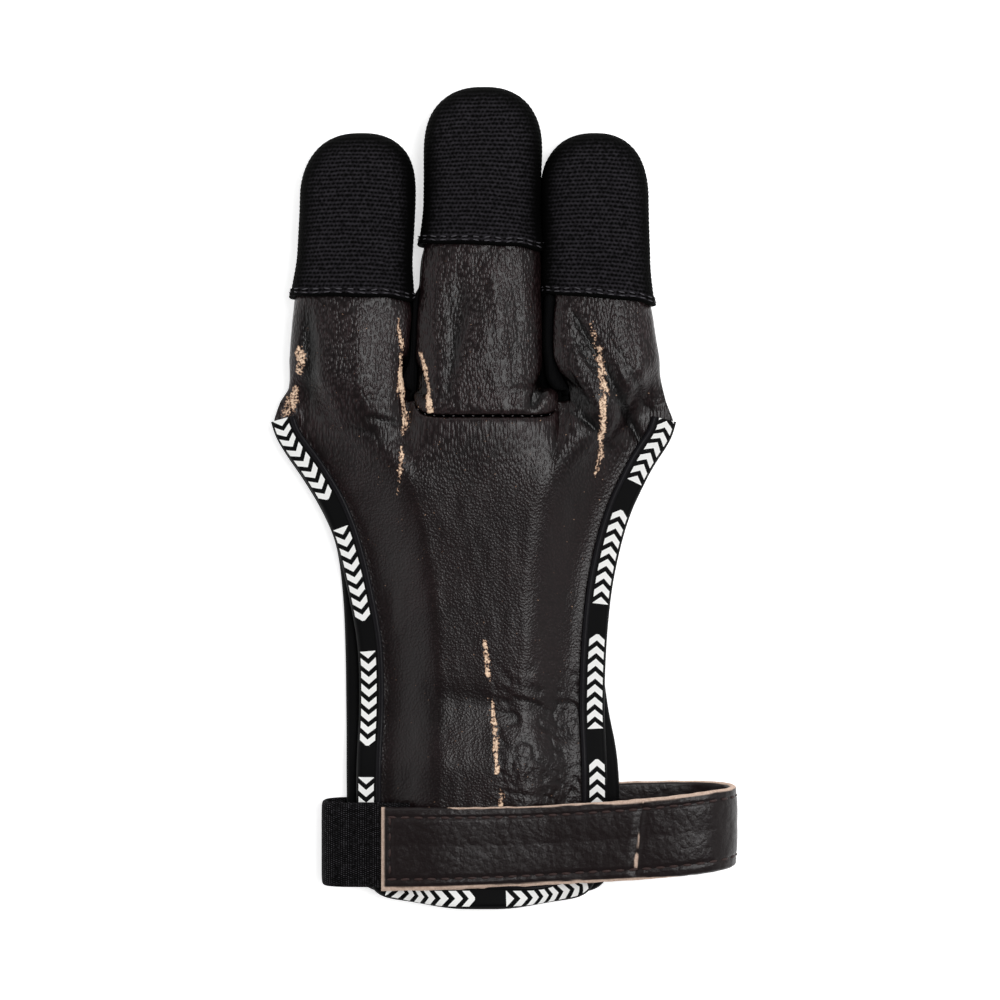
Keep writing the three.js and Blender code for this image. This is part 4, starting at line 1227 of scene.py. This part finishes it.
def elasticPath():
    # From under the strap's left end, round the left-hand fold and back underneath
    look = elasticLook
    y = strapLook["y"] - look["drop"]
    strapZ = strapRun["height"][0] * strapLook["loopHeight"]
    topZ = strapZ - strapLook["wall"] / 2 - glove["clearance"] - look["wall"] / 2
    points = [
        (look["endX"], y, topZ + look["rise"]),
        ((look["endX"] + strapLook["leftX"]) / 2, y, topZ + look["rise"] * look["riseHalfWay"]),
        (strapLook["leftX"], y, topZ),
    ]
    folded = zip(look["along"], look["height"])
    points += [(look["reach"] * along, y, height * topZ) for along, height in folded]
    points.append((look["reach"] * look["underFrom"], y, look["wall"] / 2))
    tail = [(strapLook["endX"] + strapLook["patchLength"] / 2 - look["tuck"], y, look["wall"] / 2)]
    return np.concatenate([smoothCurve(points, strapLook["curveSteps"]), tail])


def makeElastic():
    look = elasticLook
    path, sideways, upward, length = bandFrame(elasticPath(), look["step"])
    half, wall = look["width"] / 2, look["wall"] / 2
    x = np.linspace(-half, half, look["columns"])
    z = wall * (1 - (np.abs(x) / half) ** look["edgeSquareness"]) ** 0.5 * 0.98 + 0.01
    top = np.stack([x, z], axis=1)
    bottom = np.stack([x, -z], axis=1)
    along = length[:, None]

    def ribbing(across):
        # Ribs that step aside from row to row, and the knots along them
        ribs = np.cos(2 * np.pi * across / look["ribPitch"] + np.pi * np.floor(along / look["ribPitch"]))
        return ribs, 0.6 + 0.4 * np.cos(2 * np.pi * along / look["ribPitch"])

    def bend(section):
        across, up = section[None, :, 0], section[None, :, 1]
        ribs, knots = ribbing(across)
        fade = 1 - (np.abs(across) / half) ** look["ribFade"]
        relief = look["ribDepth"] * 0.5 * (ribs * knots) * fade
        return np.stack([across + 0 * along, up + np.sign(up) * relief], axis=-1)

    # Painted highlight and shade: the ribs' knots are coloured lighter and the gaps between the ribs black
    ribs, knots = ribbing(np.concatenate([top, bottom[::-1]])[None, :, 0])
    attributes = {"thread": (0.5 + 0.5 * ribs) * knots}
    return sweep("strapElastic", path, sideways, upward, top, bottom, attributes=attributes, bend=bend)


# Stitches, laid along their lines by one node tree: waxed thread is satin, spun thread is dull
threadLook = {
    "strap": {"material": "waxedRedBrownThread", "colour": "#2a110d", "roughness": 0.6, "pitch": 3.5,
              "length": 2.4, "thickness": 0.8, "wander": 0.16, "seed": 4},
    "hem": {"material": "greyHemThread", "colour": "#464449", "roughness": 0.8, "pitch": 2.9,
            "length": 1.7, "thickness": 0.3, "wander": 0.45, "seed": 6},
    # The seam's thread is white, coloured grey here as painted shade, where it lies sunk in the seam
    "seam": {"material": "whiteSeamThread", "colour": "#565153", "roughness": 0.8, "pitch": 2.6,
             "length": 0.6, "thickness": 0.22, "wander": 0.7, "seed": 8, "sunk": 0.6},
}


def stitchTree():
    tree = bpy.data.node_groups.new("stitchesAlongLine", "GeometryNodeTree")
    face = tree.interface
    face.new_socket("Geometry", in_out="INPUT", socket_type="NodeSocketGeometry")
    for label in ("Pitch", "Length", "Thickness", "Wander"):
        face.new_socket(label, in_out="INPUT", socket_type="NodeSocketFloat")
    face.new_socket("Seed", in_out="INPUT", socket_type="NodeSocketInt")
    face.new_socket("Thread", in_out="INPUT", socket_type="NodeSocketMaterial")
    face.new_socket("Geometry", in_out="OUTPUT", socket_type="NodeSocketGeometry")
    start = addNode(tree, "NodeGroupInput")
    curve = addNode(tree, "GeometryNodeMeshToCurve", links={0: (start, 0)})
    points = addNode(tree, "GeometryNodeCurveToPoints", {"mode": "LENGTH"},
                     {"Curve": (curve, 0), "Length": (start, "Pitch")})
    stitch = addNode(tree, "GeometryNodeMeshUVSphere", values={"Segments": 8, "Rings": 7, "Radius": 0.5})
    size = addNode(tree, "ShaderNodeCombineXYZ",
                   links={0: (start, "Thickness"), 1: (start, "Thickness"), 2: (start, "Length")})
    place = addNode(tree, "GeometryNodeInstanceOnPoints", links={
        "Points": (points, "Points"), "Instance": (stitch, "Mesh"),
        "Rotation": (points, "Rotation"), "Scale": (size, 0),
    })
    turn = addNode(tree, "FunctionNodeRandomValue", {"data_type": "FLOAT_VECTOR"},
                   links={"Seed": (start, "Seed")})
    turn.inputs["Min"].default_value = (-0.5, -0.5, 0)
    turn.inputs["Max"].default_value = (0.5, 0.5, 0)
    wander = addNode(tree, "ShaderNodeVectorMath", {"operation": "SCALE"},
                     {0: (turn, 0), "Scale": (start, "Wander")})
    rotated = addNode(tree, "GeometryNodeRotateInstances",
                      links={"Instances": (place, 0), "Rotation": (wander, 0)})
    real = addNode(tree, "GeometryNodeRealizeInstances", links={0: (rotated, 0)})
    smooth = addNode(tree, "GeometryNodeSetShadeSmooth", links={"Geometry": (real, 0)})
    thread = addNode(tree, "GeometryNodeSetMaterial",
                     links={"Geometry": (smooth, 0), "Material": (start, "Thread")})
    addNode(tree, "NodeGroupOutput", links={0: (thread, 0)})
    return tree


def addNode(tree, kind, settings=None, links=None, values=None):
    # One node with its settings, its links from other nodes' outputs and its plain values
    node = tree.nodes.new(kind)
    for key, value in (settings or {}).items():
        setattr(node, key, value)
    for key, (source, output) in (links or {}).items():
        tree.links.new(source.outputs[output], node.inputs[key])
    for key, value in (values or {}).items():
        node.inputs[key].default_value = value
    return node


def makeStitches(name, lines, tree, look):
    # One mesh of stitches along the lines: the node tree lays them, and the result is kept as a plain mesh
    mesh = bpy.data.meshes.new(name + "Line")
    points = (np.concatenate(lines) + shift) * mm
    counts = [len(line) for line in lines]
    firsts = np.cumsum([0] + counts[:-1])
    edges = [(first + i, first + i + 1) for first, count in zip(firsts, counts) for i in range(count - 1)]
    mesh.from_pydata(points.tolist(), edges, [])
    line = bpy.data.objects.new(name + "Line", mesh)
    bpy.context.scene.collection.objects.link(line)
    modifier = line.modifiers.new("stitches", "NODES")
    modifier.node_group = tree
    sizes = {"Wander": look["wander"], "Seed": look["seed"]}
    sizes.update({key: look[key.lower()] * mm for key in ("Pitch", "Length", "Thickness")})
    sizes["Thread"] = newMaterial(look["material"], look["colour"], look["roughness"])[0]
    for item in tree.interface.items_tree:
        if item.in_out == "INPUT" and item.name in sizes:
            modifier[item.identifier] = sizes[item.name]
    depsgraph = bpy.context.evaluated_depsgraph_get()
    sewn = bpy.data.meshes.new_from_object(line.evaluated_get(depsgraph), depsgraph=depsgraph)
    sewn.name = name
    bpy.data.objects.remove(line)
    piece = bpy.data.objects.new(name, sewn)
    bpy.context.scene.collection.objects.link(piece)
    return piece


def linear(hexColour):
    # sRGB hex to the linear values that the shaders work in
    parts = np.array([int(hexColour[i:i + 2], 16) / 255 for i in (1, 3, 5)])
    straight = np.where(parts <= 0.04045, parts / 12.92, ((parts + 0.055) / 1.055) ** 2.4)
    return tuple(float(part) for part in straight) + (1,)


def newMaterial(name, colour, roughness, ior=1.5, values=None):
    # A principled surface with its plain values, returned with its tree and shader
    material = bpy.data.materials.new(name)
    material.use_nodes = True
    tree = material.node_tree
    tree.nodes.clear()
    shader = addNode(tree, "ShaderNodeBsdfPrincipled", values={
        "Base Color": linear(colour), "Roughness": roughness, "IOR": ior, **(values or {}),
    })
    addNode(tree, "ShaderNodeOutputMaterial", links={"Surface": (shader, "BSDF")})
    return material, tree, shader


# Grain sizes are in millimetres. The pebbles are drawn a little coarser than real ones, so that they show
nappaLook = {
    "base": "#241c1e",
    "finish": ("#191011", "#241819"),
    "hide": ("#7a5540", "#ffe0c2"),
    "pebble": 0.64,
    "pulledLong": 0.48,
    "onPalm": 0.4,
    "fineGrain": 0.42,
    "patches": 16,
    "torn": 2.2,
    "specks": 0.62,
    "roughness": (0.33, 0.9),
    "inCreaseShade": 0.12,
    "bump": 0.13,
}
hideLook = {
    "base": "#1d1919",
    "face": ("#110b0b", "#1f1718"),
    "fibres": ("#8e6a55", "#f3dccb"),
    "fineGrain": 0.7,
    "wrinkles": 1.7,
    "roughness": (0.3, 0.9),
    "bump": 0.15,
}


def pebbledNappa():
    # Soft goat nappa under a black finish: fine pebbles that catch the light, rubbed through to the tan
    # hide in strokes
    look = nappaLook
    matte, bare = look["roughness"]
    material, tree, shader = newMaterial("pebbledBlackNappa", look["base"], 0.5, 1.48,
                                         {"Specular IOR Level": 0.3})
    place = addNode(tree, "ShaderNodeTexCoord")
    stall = addNode(tree, "ShaderNodeAttribute", {"attribute_name": "drawn"})
    lengthwise = addNode(tree, "ShaderNodeMapRange", None, {"Value": (stall, "Fac")},
                         {"To Min": 1.0, "To Max": look["pulledLong"]})
    stretched = addNode(tree, "ShaderNodeCombineXYZ", None, {1: (lengthwise, "Result")}, {0: 1.0, 2: 1.0})
    pulled = addNode(tree, "ShaderNodeVectorMath", {"operation": "MULTIPLY"},
                     {0: (place, "Object"), 1: (stretched, 0)})
    pebbles = addNode(tree, "ShaderNodeTexVoronoi", {"feature": "SMOOTH_F1"}, {"Vector": (pulled, 0)},
                      {"Scale": 1 / (look["pebble"] * mm), "Randomness": 1.0, "Smoothness": 0.35})
    fine = addNode(tree, "ShaderNodeTexNoise", None, {"Vector": (place, "Object")},
                   {"Scale": 1 / (look["fineGrain"] * mm), "Detail": 2.0, "Roughness": 0.6})
    patches = addNode(tree, "ShaderNodeTexNoise", None, {"Vector": (place, "Object")},
                      {"Scale": 1 / (look["patches"] * mm), "Detail": 2.0})
    crowns = addNode(tree, "ShaderNodeMapRange", {"interpolation_type": "SMOOTHSTEP"},
                     {"Value": (pebbles, "Distance")},
                     {"From Min": 0.75, "From Max": 0.1})
    strong = addNode(tree, "ShaderNodeMapRange", None, {"Value": (stall, "Fac")},
                     {"To Min": look["onPalm"], "To Max": 1.0})
    pebbled = addNode(tree, "ShaderNodeMath", {"operation": "MULTIPLY"},
                      {0: (crowns, "Result"), 1: (strong, "Result")})
    grain = addNode(tree, "ShaderNodeMath", {"operation": "MULTIPLY_ADD"},
                    {0: (fine, "Fac"), 2: (pebbled, 0)}, {1: 0.35})
    tone = addNode(tree, "ShaderNodeMapRange", None, {"Value": (patches, "Fac")},
                   {"From Min": 0.3, "From Max": 0.7})
    black = addNode(tree, "ShaderNodeMix", {"data_type": "RGBA"}, {"Factor": (tone, "Result")},
                    dict(zip("AB", map(linear, look["finish"]))))
    # Painted highlight and shade: the finish is coloured lighter on the pebbles' crowns and darker between
    # them, less so on the palm
    pebbleHighlightAndShade = addNode(tree, "ShaderNodeMapRange", None, {"Value": (grain, 0)},
                     {"From Min": 0.15, "From Max": 1.2, "To Min": 0.45, "To Max": 1.35})
    # Painted shade: the finish's colour is darkened deep in the creases
    deep = addNode(tree, "ShaderNodeAttribute", {"attribute_name": "paintedCreaseShade"})
    openness = addNode(tree, "ShaderNodeMapRange", None, {"Value": (deep, "Fac")},
                       {"To Min": 1.0, "To Max": look["inCreaseShade"]})
    light = addNode(tree, "ShaderNodeMath", {"operation": "MULTIPLY"},
                    {0: (pebbleHighlightAndShade, "Result"), 1: (openness, "Result")})
    finish = addNode(tree, "ShaderNodeVectorMath", {"operation": "SCALE"},
                     {0: (black, "Result"), "Scale": (light, 0)})
    rubbed = addNode(tree, "ShaderNodeAttribute", {"attribute_name": "scuff"})
    rough = addNode(tree, "ShaderNodeTexNoise", None, {"Vector": (place, "Object")},
                    {"Scale": 1 / (look["torn"] * mm), "Detail": 1.0, "Roughness": 0.7})
    specks = addNode(tree, "ShaderNodeTexNoise", None, {"Vector": (place, "Object")},
                     {"Scale": 1 / (look["specks"] * mm), "Detail": 1.5, "Roughness": 0.6})
    uneven = addNode(tree, "ShaderNodeMath", {"operation": "MULTIPLY_ADD"},
                     {0: (specks, "Fac"), 2: (rough, "Fac")}, {1: 2.0})
    torn = addNode(tree, "ShaderNodeMath", {"operation": "MULTIPLY_ADD"},
                   {0: (rubbed, "Fac"), 2: (uneven, 0)}, {1: 0.9})
    tan = addNode(tree, "ShaderNodeMapRange", {"interpolation_type": "SMOOTHSTEP"}, {"Value": (torn, 0)},
                  {"From Min": 2.03, "From Max": 2.24})
    pale = addNode(tree, "ShaderNodeMapRange", None, {"Value": (torn, 0)},
                   {"From Min": 2.1, "From Max": 2.6})
    hide = addNode(tree, "ShaderNodeMix", {"data_type": "RGBA"}, {"Factor": (pale, "Result")},
                   dict(zip("AB", map(linear, look["hide"]))))
    colour = addNode(tree, "ShaderNodeMix", {"data_type": "RGBA"},
                     {"Factor": (tan, "Result"), "A": (finish, 0), "B": (hide, "Result")})
    matt = addNode(tree, "ShaderNodeMapRange", None, {"Value": (tan, "Result")},
                   {"To Min": matte, "To Max": bare})
    relief = addNode(tree, "ShaderNodeBump", None, {"Height": (grain, 0)},
                     {"Strength": 0.8, "Distance": look["bump"] * mm})
    tree.links.new(colour.outputs["Result"], shader.inputs["Base Color"])
    tree.links.new(matt.outputs["Result"], shader.inputs["Roughness"])
    tree.links.new(relief.outputs["Normal"], shader.inputs["Normal"])
    return material


def strapHide():
    # Smooth dyed cowhide, cut and left raw: satin black face and pale fibrous edges
    look = hideLook
    satin, fibrous = look["roughness"]
    material, tree, shader = newMaterial("dyedCowhideRawEdge", look["base"], 0.45, 1.48,
                                         {"Specular IOR Level": 0.3})
    place = addNode(tree, "ShaderNodeTexCoord")
    fine = addNode(tree, "ShaderNodeTexNoise", None, {"Vector": (place, "Object")},
                   {"Scale": 1 / (look["fineGrain"] * mm), "Detail": 4.0, "Roughness": 0.65})
    face = addNode(tree, "ShaderNodeMix", {"data_type": "RGBA"}, {"Factor": (fine, "Fac")},
                   dict(zip("AB", map(linear, look["face"]))))
    fibres = addNode(tree, "ShaderNodeMix", {"data_type": "RGBA"}, {"Factor": (fine, "Fac")},
                     dict(zip("AB", map(linear, look["fibres"]))))
    cut = addNode(tree, "ShaderNodeAttribute", {"attribute_name": "rawEdge"})
    worn = addNode(tree, "ShaderNodeAttribute", {"attribute_name": "scuff"})
    wornAway = addNode(tree, "ShaderNodeMapRange", None, {"Value": (worn, "Fac")},
                       {"From Min": 0.4, "From Max": 0.7})
    bare = addNode(tree, "ShaderNodeMath", {"operation": "MAXIMUM"},
                   {0: (cut, "Fac"), 1: (wornAway, "Result")})
    colour = addNode(tree, "ShaderNodeMix", {"data_type": "RGBA"},
                     {"Factor": (bare, 0), "A": (face, "Result"), "B": (fibres, "Result")})
    matt = addNode(tree, "ShaderNodeMapRange", None, {"Value": (bare, 0)},
                   {"To Min": satin, "To Max": fibrous})
    wrinkles = addNode(tree, "ShaderNodeTexVoronoi", {"feature": "F1"}, {"Vector": (place, "Object")},
                       {"Scale": 1 / (look["wrinkles"] * mm), "Randomness": 1.0})
    height = addNode(tree, "ShaderNodeMath", {"operation": "MULTIPLY_ADD"},
                     {0: (wrinkles, "Distance"), 2: (fine, "Fac")},
                     {1: -0.9})
    relief = addNode(tree, "ShaderNodeBump", None, {"Height": (height, 0)},
                     {"Strength": 0.7, "Distance": look["bump"] * mm})
    tree.links.new(colour.outputs["Result"], shader.inputs["Base Color"])
    tree.links.new(matt.outputs["Result"], shader.inputs["Roughness"])
    tree.links.new(relief.outputs["Normal"], shader.inputs["Normal"])
    return material


def wovenCloth(name, attribute, hole, top, roughness):
    # Spun nylon yarn: coloured lighter on its round tops as a painted highlight, and black in the gaps
    # between as painted shade
    material, tree, shader = newMaterial(name, top, roughness, 1.53, {"Specular IOR Level": 0.05})
    place = addNode(tree, "ShaderNodeTexCoord")
    yarn = addNode(tree, "ShaderNodeAttribute", {"attribute_name": attribute})
    uneven = addNode(tree, "ShaderNodeTexNoise", None, {"Vector": (place, "Object")},
                     {"Scale": 1 / (1.0 * mm), "Detail": 3.0, "Roughness": 0.7})
    spun = addNode(tree, "ShaderNodeMapRange", None, {"Value": (uneven, "Fac")},
                   {"From Min": 0.3, "From Max": 0.7, "To Min": 0.45, "To Max": 1.2})
    lit = addNode(tree, "ShaderNodeMath", {"operation": "MULTIPLY"},
                  {0: (yarn, "Fac"), 1: (spun, "Result")})
    shade = addNode(tree, "ShaderNodeMapRange", {"interpolation_type": "SMOOTHSTEP"}, {"Value": (lit, 0)},
                    {"From Min": 0.2, "From Max": 1.05})
    colour = addNode(tree, "ShaderNodeMix", {"data_type": "RGBA"}, {"Factor": (shade, "Result")},
                     {"A": linear(hole), "B": linear(top)})
    tree.links.new(colour.outputs["Result"], shader.inputs["Base Color"])
    return material


def stretchKnit():
    # Fine elastane knit: matt black with a faint rib
    material, tree, shader = newMaterial("blackElastaneKnit", "#050506", 0.85, 1.5,
                                         {"Specular IOR Level": 0.08})
    place = addNode(tree, "ShaderNodeTexCoord")
    ribs = addNode(tree, "ShaderNodeTexWave", {"wave_type": "BANDS", "bands_direction": "X"},
                   {"Vector": (place, "Object")},
                   {"Scale": 0.314 / (0.9 * mm), "Distortion": 1.2, "Detail": 1.0, "Detail Scale": 3.0})
    relief = addNode(tree, "ShaderNodeBump", None, {"Height": (ribs, "Fac")},
                     {"Strength": 0.5, "Distance": 0.15 * mm})
    tree.links.new(relief.outputs["Normal"], shader.inputs["Normal"])
    return material


printLook = {"repeat": 33.5, "group": 25.4, "stroke": 3.4, "ink": 0.56, "slant": 0.85, "middle": 2.75,
             "half": 2.05}


def bindingTape(name, printed):
    # Woven polyester tape: dull black with a shiny selvedge, and white printed chevrons in groups
    material, tree, shader = newMaterial(name, "#060607", 0.62, 1.5, {"Specular IOR Level": 0.08})
    along = addNode(tree, "ShaderNodeAttribute", {"attribute_name": "along"})
    across = addNode(tree, "ShaderNodeAttribute", {"attribute_name": "across"})
    selvedge = addNode(tree, "ShaderNodeMapRange", None, {"Value": (across, "Fac")},
                       {"From Min": bindingWidth - 1.6, "From Max": bindingWidth - 1.3})
    tape = addNode(tree, "ShaderNodeMix", {"data_type": "RGBA"}, {"Factor": (selvedge, "Result")},
                   {"A": linear("#040405"), "B": linear("#151417")})
    gloss = addNode(tree, "ShaderNodeMapRange", None, {"Value": (selvedge, "Result")},
                    {"To Min": 0.6, "To Max": 0.36})
    tree.links.new(gloss.outputs["Result"], shader.inputs["Roughness"])
    tree.links.new(tape.outputs["Result"], shader.inputs["Base Color"])
    if not printed:
        return material
    look = printLook
    offset = addNode(tree, "ShaderNodeMath", {"operation": "SUBTRACT"}, {0: (across, "Fac")},
                     {1: look["middle"]})
    away = addNode(tree, "ShaderNodeMath", {"operation": "ABSOLUTE"}, {0: (offset, 0)})
    inBand = addNode(tree, "ShaderNodeMath", {"operation": "LESS_THAN"}, {0: (away, 0)}, {1: look["half"]})
    place = addNode(tree, "ShaderNodeMath", {"operation": "MODULO"}, {0: (along, "Fac")},
                    {1: look["repeat"]})
    inGroup = addNode(tree, "ShaderNodeMath", {"operation": "LESS_THAN"}, {0: (place, 0)},
                      {1: look["group"]})
    leaned = addNode(tree, "ShaderNodeMath", {"operation": "MULTIPLY_ADD"}, {0: (away, 0), 2: (place, 0)},
                     {1: look["slant"]})
    stroke = addNode(tree, "ShaderNodeMath", {"operation": "DIVIDE"}, {0: (leaned, 0)}, {1: look["stroke"]})
    share = addNode(tree, "ShaderNodeMath", {"operation": "FRACT"}, {0: (stroke, 0)})
    inked = addNode(tree, "ShaderNodeMath", {"operation": "LESS_THAN"}, {0: (share, 0)}, {1: look["ink"]})
    both = addNode(tree, "ShaderNodeMath", {"operation": "MULTIPLY"}, {0: (inBand, 0), 1: (inGroup, 0)})
    mark = addNode(tree, "ShaderNodeMath", {"operation": "MULTIPLY"}, {0: (both, 0), 1: (inked, 0)})
    colour = addNode(tree, "ShaderNodeMix", {"data_type": "RGBA"},
                     {"Factor": (mark, 0), "A": (tape, "Result")},
                     {"B": linear("#f7f7f5")})
    tree.links.new(colour.outputs["Result"], shader.inputs["Base Color"])
    return material


def hookPile():
    # Brushed nylon loops: a dull black nap
    material, tree, shader = newMaterial("brushedLoopPile", "#0d0d0f", 0.95, 1.5)
    place = addNode(tree, "ShaderNodeTexCoord")
    nap = addNode(tree, "ShaderNodeTexNoise", None, {"Vector": (place, "Object")},
                  {"Scale": 1 / (0.6 * mm), "Detail": 4.0})
    relief = addNode(tree, "ShaderNodeBump", None, {"Height": (nap, "Fac")},
                     {"Strength": 0.8, "Distance": 0.3 * mm})
    tree.links.new(relief.outputs["Normal"], shader.inputs["Normal"])
    return material


nappa = pebbledNappa()
print("leather")
dress(makePalmLeather(), nappa, "glove_leather", "leather_front")
dress(makeMiddleLeather(), nappa, "glove_leather", "middle_finger_leather")
print("stretch back")
dress(makeStretchBack(), stretchKnit(), "stretch_fabric", "stretch_back")
print("caps")
nylon = wovenCloth("wovenBlackNylon", "weave", "#010101", "#2c2a2e", 0.85)
for fingerName in fingers:
    dress(makeCap(fingerName), nylon, "woven_nylon", "cap_" + fingerName)
print("binding")
frontTape = makeBinding("frontBinding", frontPanel, frontPoint)
dress(frontTape, bindingTape("printedBindingTape", True), "printed_binding", "binding_front")
backTape = makeBinding("backBinding", backPanel, backPoint)
dress(backTape, bindingTape("plainBindingTape", False), "plain_binding", "binding_back")
print("strap")
dress(makeStrap(), strapHide(), "strap_leather", "wrist_strap")
dress(makeElastic(), wovenCloth("ribbedBlackElastic", "thread", "#020202", "#5b595e", 0.8),
      "elastic_webbing", "strap_elastic")
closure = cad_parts["strap_closure"]
closure.data.materials.clear()
closure.data.materials.append(hookPile())

print("stitches")
stitches = stitchTree()
dress(makeStitches("strapStitches", strapStitchLines(), stitches, threadLook["strap"]), None,
      "strap_leather")
hems = [capHemLine(name, fromHem) for name in fingers for fromHem in capLook["stitchRows"]]
dress(makeStitches("hemStitches", hems, stitches, threadLook["hem"]), None, "woven_nylon")
seamShare = np.linspace(0.012, 0.988, 90)
seamMiddle = seamY(seamShare) + glove["seamRoom"] / 2
seamLine, seamNormal = surface(frontPoint, "middle", seamShare, seamMiddle, 1)
seamLine = seamLine - seamNormal * threadLook["seam"]["sunk"]
dress(makeStitches("seamStitches", [seamLine], stitches, threadLook["seam"]), None, "glove_leather")

print("stage, lights and camera")
stageLook = {
    "floorSize": 6,
    "floorDrop": 0.2,
    "floor": "#f6f6f6",
    "glow": 0.6,
    "zenith": 0.12,
    "horizon": 0.6,
}
floorMesh = bpy.data.meshes.new("floor")
floorZ = min(corner[2] for corner in cadBounds) - stageLook["floorDrop"] * mm
far = stageLook["floorSize"] / 2
floorCorners = [(x * far, y * far, floorZ) for x, y in ((-1, -1), (1, -1), (1, 1), (-1, 1))]
floorMesh.from_pydata(floorCorners, [], [(0, 1, 2, 3)])
floor = bpy.data.objects.new("floor", floorMesh)
bpy.context.scene.collection.objects.link(floor)
# Matt white paper, with a little glow of its own so that it stays white under the soft light
glow = {"Emission Color": (1, 1, 1, 1), "Emission Strength": stageLook["glow"]}
floorMesh.materials.append(newMaterial("whitePaperSweep", stageLook["floor"], 0.9, 1.5, glow)[0])
floor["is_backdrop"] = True

# Soft studio sky: bright round the horizon and dark overhead, so that black leather keeps its depth
world = bpy.data.worlds.new("studio")
world.use_nodes = True
sky = world.node_tree.nodes["Background"]
skyPlace = addNode(world.node_tree, "ShaderNodeTexCoord")
skyParts = addNode(world.node_tree, "ShaderNodeSeparateXYZ", links={0: (skyPlace, "Generated")})
skyLight = addNode(world.node_tree, "ShaderNodeMapRange", {"interpolation_type": "SMOOTHSTEP"},
                   {"Value": (skyParts, "Z")},
                   {"From Min": 0.1, "From Max": 0.8,
                    "To Min": stageLook["horizon"], "To Max": stageLook["zenith"]})
world.node_tree.links.new(skyLight.outputs["Result"], sky.inputs["Strength"])
sky.inputs["Color"].default_value = (1, 1, 1, 1)
bpy.context.scene.world = world
bpy.context.scene.view_settings.view_transform = "Standard"

lights = {
    "key": {"at": (0.29, 0.08, 0.87), "size": 0.38, "watts": 4.5},
    "sideLeft": {"at": (-0.9, 0.1, 0.42), "size": 1.0, "watts": 3.0},
    "sideRight": {"at": (0.95, -0.1, 0.36), "size": 1.0, "watts": 1.25},
    "farEnd": {"at": (0.0, 0.95, 0.5), "size": 1.0, "watts": 2.4},
}
for name, light in lights.items():
    lamp = bpy.data.lights.new(name, "AREA")
    lamp.size = light["size"]
    lamp.energy = light["watts"]
    lampObject = bpy.data.objects.new(name, lamp)
    lampObject.location = light["at"]
    aim = -np.array(light["at"])
    tilt = math.acos(-aim[2] / np.linalg.norm(aim))
    lampObject.rotation_euler = (tilt, 0, math.atan2(aim[1], aim[0]) - math.pi / 2)
    bpy.context.scene.collection.objects.link(lampObject)

cameraLook = {"x": 7.09, "y": -21.41, "height": 600, "lens": 79.6}
camera = bpy.data.cameras.new("overhead")
camera.lens = cameraLook["lens"]
camera.sensor_width = 36
cameraObject = bpy.data.objects.new("overhead", camera)
over = (cameraLook["x"] + shift[0], cameraLook["y"] + shift[1], cameraLook["height"])
cameraObject.location = [distance * mm for distance in over]
bpy.context.scene.collection.objects.link(cameraObject)
bpy.context.scene.camera = cameraObject

both = {"cad": cadBounds, "visual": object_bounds()}
{key: [list(corner) for corner in corners] for key, corners in both.items()}
